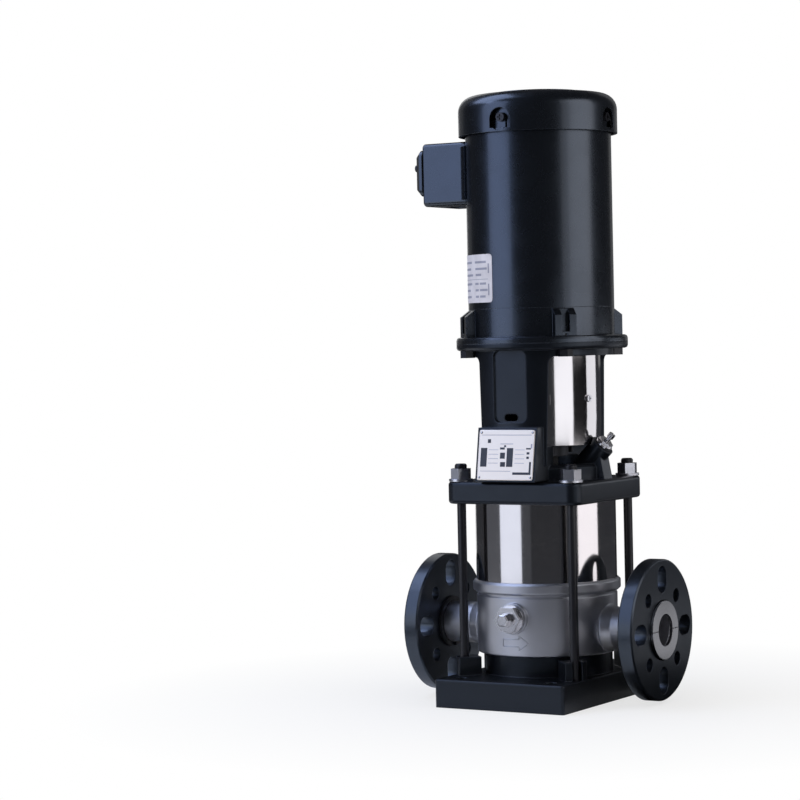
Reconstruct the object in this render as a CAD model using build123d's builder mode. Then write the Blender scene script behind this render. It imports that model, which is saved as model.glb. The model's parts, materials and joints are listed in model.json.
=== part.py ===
from build123d import *
import os
from math import sqrt, radians, sin, cos, tan

os.makedirs("parts", exist_ok=True)

# Vertical in-line multistage pump with its motor on top. Millimetres, +Z up.
# The origin is the middle of the base plate's underside. Liquid flows along +X:
# the inlet flange is at -X, the outlet flange at +X, and the front, with the
# drain plug and the nameplate, faces -Y.

# Clearances
running = 0.05          # shaft in its bush, radial
gap = 0.3               # between pieces that move past each other
seat = 0.2              # between pieces that are bolted or laid together round a curve

# Ports and loose flanges
face_to_face = 263.0
port_height = 73.5
port_bore = 32.0
nozzle_diameter = 42.0
flange_diameter = 140.0
flange_thickness = 16.0
flange_edge = 1.5
flange_web = 6.0        # the thin inner rim of the flange, behind the split ring
raised_face_diameter = 58.0
raised_face = 3.0
split_ring_plate = 3.4
split_ring_cut = 0.6
lip_width = 3.6
lip_depth = 1.8
slot_circle = 100.0
slot_width = 20.0
slot_length = 27.0
hole_circle = 89.0
flange_hole = 14.0
retainer_diameter = 52.0
retainer_thickness = 2.4
retainer_opening = 9.0

# Base plate
base_margin = 10.0      # from the stay bolts to the long sides
base_y = 212.0
base_slab = 28.0
base_corner = 3.0
base_edge = 1.5
base_wall = 8.0
base_rib = 6.0
foot_pitch_x = 100.0
foot_pitch_y = 180.0
foot_hole = 13.0
foot_boss = 22.0
pedestal_diameter = 130.0
pedestal_height = 21.0
spigot_diameter = 108.0
spigot_depth = 4.0
lug_length = 23.0
lug_width = 25.0
lug_height = 18.5
stay_boss = 18.0        # under the slab, round each stay bolt

# Base casting
casting_diameter = 142.0
casting_height = 61.0
casting_wall = 7.0
casting_floor = 8.0
casting_edge = 1.0
casting_ring = 149.0
ring_edge = 2.2
casting_ring_height = 12.0
groove_height = 3.0
groove_depth = 2.0
cup_outside = 100.0
cup_wall = 5.0
cup_height = 49.0       # above the casting's floor
fairing_diameter = 48.0
fairing_length = 9.0

# Sleeve and the stay bolts
sleeve_diameter = 142.0
sleeve_wall = 2.0
sleeve_exposed = 78.0
sleeve_seat_depth = 11.0
sleeve_top_depth = 7.0
gasket = 2.0
stay_pitch = 124.0
stay_shank = 9.0
stay_thread = 12.0
stay_thread_below = 16.0
stay_foot = 17.0        # thread in the slab
stay_end = 4.8          # thread that stands above the nut
nut_flats = 18.0
nut_height = 10.4
washer_diameter = 24.0
washer_thickness = 2.4

# Pump head with its motor stool
plate_margin = 12.5     # from the stay bolts to the plate's sides
plate_thickness = 22.3
plate_corner = 12.0
plate_edge = 3.5
hub_diameter = 128.0
hub_height = 15.7
hub_edge = 3.0
neck_diameter = 107.0
neck_height = 34.7      # top of the neck above the plate
sill_height = 5.0
column_outside = 144.0
column_inside = 117.2
column_half_angle = 30.0
window_corner = 7.0
window_top_band = 6.6
window_taper = 2.0
stool_height = 137.0    # plate top to the motor's face
stool_ring_thickness = 6.8
motor_flange_diameter = 172.8
motor_flange_edge = 3.0
register_diameter = 110.6
seal_chamber_diameter = 80.0
seal_chamber_roof = 12.0
gland_bore = 48.0
head_recess_diameter = 124.0
head_recess = 3.0
column_recess_width = 36.0
column_recess_depth = 4.5
column_recess_bottom = 58.7   # above the plate
drain_slot_length = 15.0
drain_slot_height = 7.0

# Nameplate and its boss
name_width = 62.5
name_length = 50.0
name_thickness = 0.8
name_tilt = 9.5
name_y = 79.7
name_z_above_plate = 27.2
name_margin = 2.0
boss_bottom_gap = 1.0

# Vent
vent_reach = 66.5
vent_height = 33.7      # middle of the vent boss's face above the plate
vent_boss = 24.0
vent_plug_diameter = 18.0
vent_plug_flats = 14.0
vent_plug_head = 2.0
vent_thread = 12.0
vent_screw_diameter = 6.0
vent_head_diameter = 7.0
vent_screw_head = 9.0
vent_washer = 1.0
vent_plug_hex = 3.0
vent_plug_length = 11.0
vent_neck = 5.0
vent_knob_height = 4.5
vent_screw_slot = 1.0
gusset_width = 18.0

# Drain plug with its bypass screw
drain_height = 87.5
drain_boss = 31.0
drain_boss_reach = 75.0
drain_thread = 19.5
drain_collar = 28.6
drain_collar_thickness = 2.5
drain_flats = 24.0
drain_hex_height = 7.0
drain_length = 14.0
plug_washer = 1.5
bypass_shank = 9.4
bypass_head_flats = 11.0
bypass_head_height = 6.0
bypass_neck = 3.0

# Stages
stage_pitch = 24.0
stages = 3
chamber_diameter = 116.0
chamber_wall = 2.0
chamber_floor = 2.0
guide_vanes = 7
guide_height = 7.0
vane_thickness = 1.6
eye_diameter = 44.0
neck_ring_wall = 2.0
impeller_diameter = 92.0
impeller_height = 10.0
impeller_vanes = 6
impeller_hub_wall = 3.0
shroud = 1.4
spigot_length = 3.0
outlet_chamber_height = 11.0
outlet_windows = 8
outlet_window_width = 24.0
outlet_window_height = 6.0
bearing_disc = 8.0
bush_wall = 3.0
bush_length = 14.0
bush_drop = 5.0         # top of the bush below the first chamber
spider_hub_wall = 3.0
spider_rim = 6.0
spider_arms = 3
spider_arm_width = 6.0
spring_thickness = 1.6

# Pump shaft, seal and coupling
shaft_diameter = 14.0
shaft_shoulder = 17.0
shaft_end_below = 4.0
shaft_nut_flats = 19.0
shaft_nut_height = 9.0
seal_face_diameter = 30.0
seal_seat_height = 6.0
seal_rotor_height = 9.0
bellows_diameter = 27.0
bellows_turns = 3
bellows_pitch = 7.0
gland_flange_diameter = 66.0
gland_flange = 4.0
gland_screw_circle = 56.0
gland_screw = 5.0
gland_screw_depth = 10.0
gland_head = 9.0
gland_head_height = 3.5
coupling_diameter = 62.0
coupling_length = 76.0
coupling_lift = 7.0     # underside above the gland
coupling_split = 1.2
coupling_edge = 2.0
coupling_screw = 8.0
coupling_screw_head = 13.0
coupling_screw_reach = 20.0
coupling_screw_pitch = 44.0
coupling_pin = 5.0

# Coupling guards
guard_thickness = 1.2
guard_half_angle = 63.0
guard_taper = 1.2
guard_crease = 26.0     # above the sill
guard_screw_height = 46.0
guard_screw_turn = -12.0      # from the window's middle, towards the front on the outlet side
guard_screw = 4.0
guard_head = 7.0
guard_head_height = 2.2

# Motor
motor_shaft_diameter = 24.0
motor_shaft_reach = 42.0      # below the motor's face
bearing_bore = 25.0
bearing_outside = 52.0
bearing_width = 15.0
bearing_race = 4.0
bearing_relief = 1.0    # beside the inner rings
bearing_shield = 1.0
housing_wall = 5.0
shaft_play = 1.0        # round the shaft where it leaves the motor
frame_diameter = 147.0
frame_wall = 4.0
bell_flange = 6.7
bell_height = 28.0      # above the bell's flange
bell_wall = 6.0
ear_reach = 82.0
ear_width = 22.0
ear_slot = 8.0
ear_slope = 7.0
motor_bolt_circle = 156.0
motor_bolt = 8.0
motor_bolt_flats = 13.0
motor_bolt_head = 7.0
motor_bolt_spot = 17.0
frame_length = 176.0
rabbet = 3.0
stator_length = 92.0
stator_above_bell = 36.0
stator_bore = 92.0
winding_height = 24.0
winding_inside = 98.0
winding_outside = 132.0
air_gap = 0.6
rotor_end_ring = 10.0
fan_bell_height = 10.0
fan_post_height = 14.0
fan_post_width = 15.0
fan_post_depth = 11.0
fan_diameter = 119.0
fan_hub = 40.0
fan_height = 17.0
fan_lift = 3.5
fan_blades = 8
fan_blade = 2.4

# Fan cover
cover_diameter = 160.0
cover_height = 40.0
cover_wall = 2.0
cover_shoulder = 16.0
cover_overlap = 12.0    # below the fan end bell's top
cover_disc_diameter = 92.0
cover_disc = 2.5
grille_circle = 14.0    # reach of the innermost slots
grille_step = 11.0
grille_counts = (6, 12, 16)
grille_slot_length = 8.0
grille_slot_width = 3.6
arch_width = 22.6
arch_height = 20.0
arch_lift = 3.5         # above the cover's rim
tab_width = 9.0
tab_height = 19.0
tab_wall = 1.6
cover_screw = 5.0
cover_screw_lift = 2.0  # above the fan end bell's top
cover_screw_head = 9.0
cover_screw_head_height = 3.5

# Conduit box, on the -X side of the motor
box_reach = 114.5
box_width = 74.0
box_height = 64.0
box_drop = 6.0          # top of the box below the frame's top
box_corner = 5.0
box_wall = 7.0
box_gasket = 1.0
box_flare = 7.0         # hollow curve where the box meets the motor
lid_thickness = 9.5
lid_bevel = 6.0
lid_corner = 8.0
lid_width = 72.0
lid_height = 47.0
lid_lift = 2.5          # middle of the lid above the box's middle
lid_screw_pitch = 52.0
lid_screw_lift = 5.5
lid_screw_head = 7.0
lid_screw_head_height = 2.5
cable_entry = 20.0
terminal_x = 12.0
terminal_y = 40.0
terminal_z = 26.0

# Levels, from the floor up
z_pedestal = base_slab + pedestal_height
z_floor = z_pedestal + casting_floor
z_ring = z_pedestal + casting_height
z_ring_top = z_ring + casting_ring_height
z_sleeve_seat = z_ring_top - sleeve_seat_depth
z_cup = z_floor + cup_height
z_head = z_ring_top + sleeve_exposed
z_plate = z_head + plate_thickness
z_sleeve_top = z_head + sleeve_top_depth
z_hub = z_plate + hub_height
z_neck = z_plate + neck_height
z_motor = z_plate + stool_height
z_stool_ring = z_motor - stool_ring_thickness
z_stack = z_cup + 2.0
z_stages = z_stack + stages * stage_pitch
z_stack_top = z_stages + outlet_chamber_height
z_gland = z_neck + gland_flange
z_coupling = z_gland + coupling_lift
z_coupling_top = z_coupling + coupling_length
z_shaft_top = z_coupling + coupling_length / 2 - 1
z_bell = z_motor + bell_flange
z_frame = z_bell + bell_height
z_frame_top = z_frame + frame_length
z_fan_bell = z_frame_top + fan_bell_height
z_cover = z_fan_bell - cover_overlap
z_cover_top = z_cover + cover_height
z_cover_screw = z_fan_bell + cover_screw_lift
z_box = z_frame_top - box_drop - box_height / 2

# Shared radii and reaches
face = face_to_face / 2
base_x = stay_pitch + 2 * base_margin
plate_side = stay_pitch + 2 * plate_margin
flange_front = face - raised_face
flange_back = flange_front - flange_thickness
nozzle_end = face - split_ring_plate
nozzle_radius = nozzle_diameter / 2
bore_radius = port_bore / 2
raised_radius = raised_face_diameter / 2
collar_back = flange_back + flange_web + gap
lip_start = collar_back + 1.4
lip_radius = nozzle_radius - lip_depth
stay_reach = stay_pitch / 2
stay_circle = stay_reach * sqrt(2)
shaft_radius = shaft_diameter / 2
shoulder_radius = shaft_shoulder / 2
journal_radius = shaft_radius + impeller_hub_wall
motor_shaft_radius = motor_shaft_diameter / 2
port_axis = Axis((0, 0, port_height), (1, 0, 0))


def turned(points, mode=Mode.ADD, axis=Axis.Z):
    """Turn a closed outline of (radius, height) points into a round solid."""
    with BuildSketch(Plane.XZ) as outline:
        with BuildLine():
            Polyline(*points, close=True)
        make_face()
    revolve(outline.sketch, axis=axis, mode=mode)


def tube(outer, inner, low, high, mode=Mode.ADD):
    """Make a plain upright ring between two levels."""
    turned([(inner, low), (outer, low), (outer, high), (inner, high)], mode)


def disc(radius, low, high, mode=Mode.ADD):
    """Make a plain upright disc between two levels."""
    with BuildSketch(Plane.XY.offset(low)) as outline:
        Circle(radius)
    extrude(outline.sketch, amount=high - low, mode=mode)


def turned_on_port(side, points, mode=Mode.ADD):
    """Turn an outline of (reach, radius) points about the line through both ports."""
    with BuildSketch(Plane.XZ) as outline:
        with BuildLine():
            Polyline(*[(side * x, port_height + r) for x, r in points], close=True)
        make_face()
    revolve(outline.sketch, axis=port_axis, mode=mode)


def port_plane(side, reach):
    """The plane square to a port's axis, at a reach from the pump's middle."""
    return Plane(origin=(side * reach, 0, port_height), x_dir=(0, side, 0), z_dir=(side, 0, 0))


def stay_places(height):
    """The four stay bolt places at a height."""
    return [Location((x * stay_reach, y * stay_reach, height)) for x in (-1, 1) for y in (-1, 1)]


def hexagon(flats):
    """A hexagon by its width across flats."""
    RegularPolygon(flats / 2, 6, major_radius=False)


# Base plate: a cast slab on ribs, with a round pedestal and four forked lugs round the stay bolts
with BuildPart() as base_plate:
    with BuildSketch():
        RectangleRounded(base_x, base_y, base_corner)
    extrude(amount=base_slab)
    fillet(base_plate.edges().group_by(Axis.Z)[-1], base_edge)
    pocket_x = (base_x - 2 * base_wall - 2 * base_rib) / 3
    pocket_y = (base_y - 2 * base_wall - 3 * base_rib) / 4
    with BuildSketch():
        with GridLocations(pocket_x + base_rib, pocket_y + base_rib, 3, 4):
            Rectangle(pocket_x, pocket_y)
        with GridLocations(foot_pitch_x, foot_pitch_y, 2, 2):
            Circle(foot_boss / 2, mode=Mode.SUBTRACT)
        with GridLocations(stay_pitch, stay_pitch, 2, 2):
            Circle(stay_boss / 2, mode=Mode.SUBTRACT)
    extrude(amount=base_slab - base_wall, mode=Mode.SUBTRACT)
    disc(pedestal_diameter / 2, base_slab, z_pedestal)
    disc(spigot_diameter / 2 + seat, z_pedestal - spigot_depth - seat, z_pedestal, Mode.SUBTRACT)
    with BuildSketch(Plane.XY.offset(base_slab)):
        with PolarLocations(stay_circle - 2.5, 4, start_angle=45):
            Rectangle(lug_length, lug_width)
        Rectangle(base_x - 2, base_y, mode=Mode.INTERSECT)
    extrude(amount=lug_height)
    with BuildSketch(Plane.XY.offset(base_slab)):
        with PolarLocations(stay_circle, 4, start_angle=45):
            Circle(stay_shank / 2 + 2 * gap)
        with PolarLocations(stay_circle + lug_length / 2, 4, start_angle=45):
            Rectangle(lug_length, stay_shank + 4 * gap)
    extrude(amount=lug_height, mode=Mode.SUBTRACT)
    with BuildSketch(Plane.XY.offset(base_slab - stay_foot - gap)):
        with Locations(*stay_places(0)):
            Circle(stay_shank / 2 + seat)
    extrude(amount=stay_foot + gap, mode=Mode.SUBTRACT)
    with BuildSketch(Plane.XY.offset(base_slab)):
        with GridLocations(foot_pitch_x, foot_pitch_y, 2, 2):
            Circle(foot_hole / 2)
    extrude(amount=-base_slab, mode=Mode.SUBTRACT)
base_plate.part.label = "base_plate"
export_step(base_plate.part, "parts/base_plate.step")

# Base casting: a round shell round a suction cup, with two nozzles in line
casting_radius = casting_diameter / 2
casting_inside = casting_radius - casting_wall
cup_radius = cup_outside / 2
sleeve_radius = sleeve_diameter / 2
with BuildPart() as base_casting:
    turned([
        (0, z_pedestal - spigot_depth),
        (spigot_diameter / 2, z_pedestal - spigot_depth),
        (spigot_diameter / 2, z_pedestal),
        (casting_radius - casting_edge, z_pedestal),
        (casting_radius, z_pedestal + casting_edge),
        (casting_radius, z_ring - groove_height),
        (casting_radius - groove_depth, z_ring - groove_height),
        (casting_radius - groove_depth, z_ring),
        (casting_ring / 2 - ring_edge, z_ring),
        (casting_ring / 2, z_ring + ring_edge),
        (casting_ring / 2, z_ring_top - ring_edge),
        (casting_ring / 2 - ring_edge, z_ring_top),
        (sleeve_radius + seat, z_ring_top),
        (sleeve_radius + seat, z_sleeve_seat),
        (casting_inside, z_sleeve_seat),
        (casting_inside, z_floor),
        (cup_radius, z_floor),
        (cup_radius, z_cup),
        (cup_radius - cup_wall, z_cup),
        (cup_radius - cup_wall, z_floor),
        (0, z_floor),
    ])
    for side in (-1, 1):
        turned_on_port(side, [
            (casting_inside, 0),
            (casting_inside, nozzle_radius),
            (casting_radius - 1, fairing_diameter / 2),
            (casting_radius + fairing_length, nozzle_radius),
            (flange_back - gap - retainer_thickness - 0.2, nozzle_radius),
            (flange_back - gap - retainer_thickness - 0.2, lip_radius),
            (flange_back - gap + 0.2, lip_radius),
            (flange_back - gap + 0.2, nozzle_radius),
            (lip_start - 0.1, nozzle_radius),
            (lip_start - 0.1, lip_radius),
            (lip_start + lip_width + 0.1, lip_radius),
            (lip_start + lip_width + 0.1, nozzle_radius),
            (nozzle_end, nozzle_radius),
            (nozzle_end, 0),
        ])
    turned_on_port(-1, [
        (cup_radius - cup_wall + 0.5, 0),
        (cup_radius - cup_wall + 0.5, nozzle_radius),
        (casting_inside + 1, nozzle_radius),
        (casting_inside + 1, 0),
    ])
    turned_on_port(-1, [(cup_radius - 2 * cup_wall, 0), (cup_radius - 2 * cup_wall, bore_radius),
                        (face, bore_radius), (face, 0)], Mode.SUBTRACT)
    turned_on_port(1, [(cup_radius + 1, 0), (cup_radius + 1, bore_radius),
                       (face, bore_radius), (face, 0)], Mode.SUBTRACT)
    with BuildSketch(Plane.XZ.offset(drain_boss_reach)):
        with Locations((0, drain_height)):
            Circle(drain_boss / 2)
    extrude(amount=-(drain_boss_reach - casting_radius + casting_wall / 2))
    with BuildSketch(Plane.XZ.offset(drain_boss_reach)):
        with Locations((0, drain_height)):
            Circle(drain_thread / 2)
    extrude(amount=-(drain_boss_reach - cup_radius - 1), mode=Mode.SUBTRACT)
base_casting.part.label = "base_casting"
export_step(base_casting.part, "parts/base_casting.step")


# Loose flanges: each turns freely on its nozzle, behind a ring split in two halves
for side, name in ((-1, "inlet_flange"), (1, "outlet_flange")):
    with BuildPart() as flange:
        turned_on_port(side, [
            (flange_back, nozzle_radius + gap),
            (flange_back, flange_diameter / 2 - flange_edge),
            (flange_back + flange_edge, flange_diameter / 2),
            (flange_front - flange_edge, flange_diameter / 2),
            (flange_front, flange_diameter / 2 - flange_edge),
            (flange_front, raised_radius + 1),
            (flange_back + flange_web, raised_radius + 1),
            (flange_back + flange_web, nozzle_radius + gap),
        ])
        with BuildSketch(port_plane(side, flange_back)):
            with PolarLocations(slot_circle / 2, 4):
                SlotOverall(slot_length, slot_width)
            with PolarLocations(hole_circle / 2, 4, start_angle=45):
                Circle(flange_hole / 2)
        extrude(amount=flange_thickness, mode=Mode.SUBTRACT)
    flange.part.label = name
    export_step(flange.part, f"parts/{name}.step")

with BuildPart() as split_rings:
    for side in (-1, 1):
        turned_on_port(side, [
            (collar_back, nozzle_radius),
            (collar_back, raised_radius),
            (face, raised_radius),
            (face, bore_radius),
            (nozzle_end, bore_radius),
            (nozzle_end, nozzle_radius),
            (lip_start + lip_width, nozzle_radius),
            (lip_start + lip_width, lip_radius),
            (lip_start, lip_radius),
            (lip_start, nozzle_radius),
        ])
    with Locations((0, 0, port_height)):
        Box(2 * face + 2, raised_face_diameter + 2, split_ring_cut, mode=Mode.SUBTRACT)
split_rings.part.label = "split_rings"
export_step(split_rings.part, "parts/split_rings.step")

with BuildPart() as flange_retainers:
    for side in (-1, 1):
        turned_on_port(side, [
            (flange_back - gap - retainer_thickness, lip_radius + 0.1),
            (flange_back - gap - retainer_thickness, retainer_diameter / 2),
            (flange_back - gap, retainer_diameter / 2),
            (flange_back - gap, lip_radius + 0.1),
        ])
    with Locations((0, 0, port_height - retainer_diameter / 2)):
        Box(2 * face, retainer_opening, retainer_diameter, mode=Mode.SUBTRACT)
flange_retainers.part.label = "flange_retainers"
export_step(flange_retainers.part, "parts/flange_retainers.step")

# Drain plug on the front, with the bypass screw in its middle
y_plug = drain_boss_reach + plug_washer
y_hex = y_plug + drain_collar_thickness
y_plug_front = y_hex + drain_hex_height
bypass_bore = bypass_shank / 2 + gap
ring_depth = 1.6
ring_width = 2.2


def front_plane(reach):
    """The plane that faces the front at a reach, centred on the drain plug."""
    return Plane(origin=(0, -reach, drain_height), x_dir=(1, 0, 0), z_dir=(0, -1, 0))


with BuildPart() as drain_plug:
    with BuildSketch(front_plane(y_plug)):
        Circle(drain_collar / 2)
    extrude(amount=drain_collar_thickness)
    with BuildSketch(front_plane(y_hex)):
        hexagon(drain_flats)
    extrude(amount=drain_hex_height)
    with BuildSketch(front_plane(y_plug)):
        Circle(drain_thread / 2 - seat)
    extrude(amount=-drain_length)
    with BuildSketch(front_plane(y_plug_front)):
        Circle(bypass_bore)
    extrude(amount=-(y_plug_front - y_plug + drain_length), mode=Mode.SUBTRACT)
drain_plug.part.label = "drain_plug"
export_step(drain_plug.part, "parts/drain_plug.step")

# The bypass screw's O-ring sits in a groove; it slides with the screw but doesn't turn
y_bypass_end = y_plug - drain_length + 2
y_groove = y_plug + 2
with BuildPart() as bypass_screw:
    with BuildSketch(front_plane(y_bypass_end)):
        Circle(bypass_shank / 2)
    extrude(amount=y_plug_front + gap - y_bypass_end)
    with BuildSketch(front_plane(y_groove)):
        Circle(bypass_shank / 2)
        Circle(bypass_shank / 2 - ring_depth, mode=Mode.SUBTRACT)
    extrude(amount=-(ring_width + 2 * gap), mode=Mode.SUBTRACT)
    with BuildSketch(front_plane(y_plug_front + gap)):
        Circle(bypass_head_flats / 2 + 1.2)
    extrude(amount=bypass_neck)
    with BuildSketch(front_plane(y_plug_front + gap + bypass_neck)):
        hexagon(bypass_head_flats)
    extrude(amount=bypass_head_height)
    chamfer(bypass_screw.faces().sort_by(Axis.Y)[0].edges(), 0.8)
bypass_screw.part.label = "bypass_screw"
export_step(bypass_screw.part, "parts/bypass_screw.step")

with BuildPart() as bypass_o_ring:
    with BuildSketch(front_plane(y_groove - gap)):
        Circle(bypass_shank / 2)
        Circle(bypass_shank / 2 - ring_depth + gap, mode=Mode.SUBTRACT)
    extrude(amount=-ring_width)
bypass_o_ring.part.label = "bypass_o_ring"
export_step(bypass_o_ring.part, "parts/bypass_o_ring.step")

# Sleeve round the stages, with a flat gasket at each end
with BuildPart() as sleeve:
    tube(sleeve_radius, sleeve_radius - sleeve_wall, z_sleeve_seat + gasket, z_sleeve_top - gasket)
sleeve.part.label = "sleeve"
export_step(sleeve.part, "parts/sleeve.step")

with BuildPart() as sleeve_gaskets:
    tube(sleeve_radius, sleeve_radius - sleeve_wall, z_sleeve_seat, z_sleeve_seat + gasket)
    tube(sleeve_radius, sleeve_radius - sleeve_wall, z_sleeve_top - gasket, z_sleeve_top)
sleeve_gaskets.part.label = "sleeve_gaskets"
export_step(sleeve_gaskets.part, "parts/sleeve_gaskets.step")

# Stay bolts, screwed into the slab between the lugs, with their nuts and washers
z_nut = z_plate + washer_thickness
z_stay_top = z_nut + nut_height + stay_end
with BuildPart() as stay_bolts:
    with BuildSketch(Plane.XY.offset(base_slab - stay_foot)):
        with Locations(*stay_places(0)):
            Circle(stay_shank / 2)
    extrude(amount=z_plate - stay_thread_below - base_slab + stay_foot)
    with BuildSketch(Plane.XY.offset(z_plate - stay_thread_below)):
        with Locations(*stay_places(0)):
            Circle(stay_thread / 2)
    extrude(amount=z_stay_top - z_plate + stay_thread_below)
    chamfer(stay_bolts.faces().group_by(Axis.Z)[-1].edges(), 1.2)
stay_bolts.part.label = "stay_bolts"
export_step(stay_bolts.part, "parts/stay_bolts.step")

with BuildPart() as stay_nuts:
    with BuildSketch(Plane.XY.offset(z_nut)):
        with PolarLocations(stay_circle, 4, start_angle=45):
            hexagon(nut_flats)
            Circle(stay_thread / 2, mode=Mode.SUBTRACT)
    extrude(amount=nut_height)
stay_nuts.part.label = "stay_nuts"
export_step(stay_nuts.part, "parts/stay_nuts.step")

with BuildPart() as stay_washers:
    with BuildSketch(Plane.XY.offset(z_plate)):
        with Locations(*stay_places(0)):
            Circle(washer_diameter / 2)
            Circle(stay_thread / 2 + 0.5, mode=Mode.SUBTRACT)
    extrude(amount=washer_thickness)
stay_washers.part.label = "stay_washers"
export_step(stay_washers.part, "parts/stay_washers.step")

# Stages: each chamber is a drawn cup with return guide vanes under its floor
chamber_radius = chamber_diameter / 2
eye_radius = eye_diameter / 2
impeller_radius = impeller_diameter / 2


def curved_vanes(count, inner, outer, sweep, low, high):
    """Add vanes that curve back from an inner to an outer radius."""
    middle = (inner + outer) / 2
    with BuildSketch(Plane.XY.offset(low)) as vanes:
        with PolarLocations(0, count):
            with BuildLine():
                leading = ThreePointArc(
                    (inner, 0),
                    (middle * cos(radians(sweep * 0.42)), middle * sin(radians(sweep * 0.42))),
                    (outer * cos(radians(sweep)), outer * sin(radians(sweep))),
                )
                offset(leading, amount=vane_thickness / 2, side=Side.BOTH)
            make_face()
    extrude(vanes.sketch, amount=high - low)


for stage in range(stages):
    low = z_stack + stage * stage_pitch
    with BuildPart() as chamber:
        turned([
            (eye_radius, low),
            (chamber_radius, low),
            (chamber_radius, low + stage_pitch),
            (chamber_radius - chamber_wall, low + stage_pitch),
            (chamber_radius - chamber_wall, low + chamber_floor),
            (eye_radius, low + chamber_floor),
        ])
        if stage > 0:
            curved_vanes(guide_vanes, eye_radius + 3, impeller_radius + 6, -50, low - guide_height, low)
    chamber.part.label = f"chamber_{stage + 1}"
    export_step(chamber.part, f"parts/chamber_{stage + 1}.step")

with BuildPart() as outlet_chamber:
    turned([
        (shoulder_radius + 4, z_stages),
        (chamber_radius, z_stages),
        (chamber_radius, z_stack_top),
        (chamber_radius - chamber_wall, z_stack_top),
        (chamber_radius - chamber_wall, z_stages + chamber_floor),
        (shoulder_radius + 4, z_stages + chamber_floor),
    ])
    curved_vanes(guide_vanes, eye_radius + 3, impeller_radius + 6, -50, z_stages - guide_height, z_stages)
    with BuildSketch(Plane.XY.offset(z_stages)):
        with PolarLocations((impeller_radius + chamber_radius) / 2, outlet_windows):
            SlotOverall(2 * guide_height, chamber_radius - impeller_radius - 4 * chamber_wall, rotation=90)
    extrude(amount=chamber_floor, mode=Mode.SUBTRACT)
    with BuildSketch(Plane.XY.offset(z_stages + chamber_floor)):
        with PolarLocations(chamber_radius, outlet_windows):
            Rectangle(4 * chamber_wall, outlet_window_width)
    extrude(amount=outlet_window_height, mode=Mode.SUBTRACT)
outlet_chamber.part.label = "outlet_chamber"
export_step(outlet_chamber.part, "parts/outlet_chamber.step")

with BuildPart() as stack_spring:
    z_spring_top = z_head + head_recess
    turned([
        (chamber_radius - 8, z_stack_top),
        (chamber_radius - 1, z_stack_top),
        (chamber_radius - 1, z_stack_top + spring_thickness),
        (chamber_radius - 12, z_spring_top - spring_thickness),
        (chamber_radius - 12, z_spring_top),
        (chamber_radius - 18, z_spring_top),
        (chamber_radius - 18, z_spring_top - spring_thickness),
    ])
stack_spring.part.label = "stack_spring"
export_step(stack_spring.part, "parts/stack_spring.step")

with BuildPart() as neck_rings:
    for stage in range(stages):
        low = z_stack + stage * stage_pitch
        tube(eye_radius, eye_radius - neck_ring_wall, low, low + chamber_floor)
neck_rings.part.label = "neck_rings"
export_step(neck_rings.part, "parts/neck_rings.step")

# Bearing disc: a three-armed spider in the mouth of the suction cup
cup_inside = cup_radius - cup_wall
z_bush_top = z_stack - bush_drop
z_bush = z_bush_top - bush_length
bush_inside = journal_radius + running
bush_outside = bush_inside + bush_wall
spider_hub = bush_outside + spider_hub_wall
with BuildPart() as bearing_spider:
    turned([
        (cup_inside - spider_rim, z_cup - bearing_disc),
        (cup_inside - seat, z_cup - bearing_disc),
        (cup_inside - seat, z_cup),
        (cup_radius, z_cup),
        (cup_radius, z_stack),
        (cup_inside - spider_rim, z_stack),
    ])
    disc(spider_hub, z_bush, z_bush_top)
    with BuildSketch(Plane.XY.offset(z_cup - bearing_disc)):
        with PolarLocations(cup_inside / 2, spider_arms):
            Rectangle(cup_inside - spider_rim, spider_arm_width)
    extrude(amount=z_bush_top - z_cup + bearing_disc)
    disc(bush_outside, z_bush, z_bush_top, Mode.SUBTRACT)
bearing_spider.part.label = "bearing_spider"
export_step(bearing_spider.part, "parts/bearing_spider.step")

with BuildPart() as bearing_bush:
    tube(bush_outside, bush_inside, z_bush, z_bush_top)
bearing_bush.part.label = "bearing_bush"
export_step(bearing_bush.part, "parts/bearing_bush.step")

# Impellers: closed wheels with backward curved vanes, stacked on the shaft
for stage in range(stages):
    low = z_stack + stage * stage_pitch
    z_front = low + spigot_length
    z_back = z_front + impeller_height
    with BuildPart() as impeller:
        turned([
            (eye_radius - neck_ring_wall - gap - shroud, low + gap),
            (eye_radius - neck_ring_wall - gap, low + gap),
            (eye_radius - neck_ring_wall - gap, z_front),
            (impeller_radius, z_front),
            (impeller_radius, z_front + shroud),
            (eye_radius - neck_ring_wall - gap - shroud, z_front + shroud),
        ])
        turned([
            (shaft_radius + running, low),
            (journal_radius, low),
            (journal_radius, z_back - shroud),
            (impeller_radius, z_back - shroud),
            (impeller_radius, z_back),
            (journal_radius, z_back),
            (journal_radius, low + stage_pitch),
            (shaft_radius + running, low + stage_pitch),
        ])
        curved_vanes(impeller_vanes, eye_radius - neck_ring_wall - 1, impeller_radius - 0.6, 62,
                     z_front + shroud, z_back - shroud)
    impeller.part.label = f"impeller_{stage + 1}"
    export_step(impeller.part, f"parts/impeller_{stage + 1}.step")

# Pump shaft: the impellers are clamped between its shoulder and a nut below,
# whose long collar is the journal that runs in the bush
z_nut_low = z_bush - gap - shaft_nut_height
with BuildPart() as pump_shaft:
    turned([
        (0, z_nut_low - shaft_end_below),
        (shaft_radius, z_nut_low - shaft_end_below),
        (shaft_radius, z_stages),
        (shoulder_radius, z_stages),
        (shoulder_radius, z_shaft_top),
        (0, z_shaft_top),
    ])
    with Locations((0, 0, z_coupling + coupling_length / 4)):
        Cylinder(coupling_pin / 2, 2 * shaft_shoulder, rotation=(0, 90, 0), mode=Mode.SUBTRACT)
pump_shaft.part.label = "pump_shaft"
export_step(pump_shaft.part, "parts/pump_shaft.step")

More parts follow.
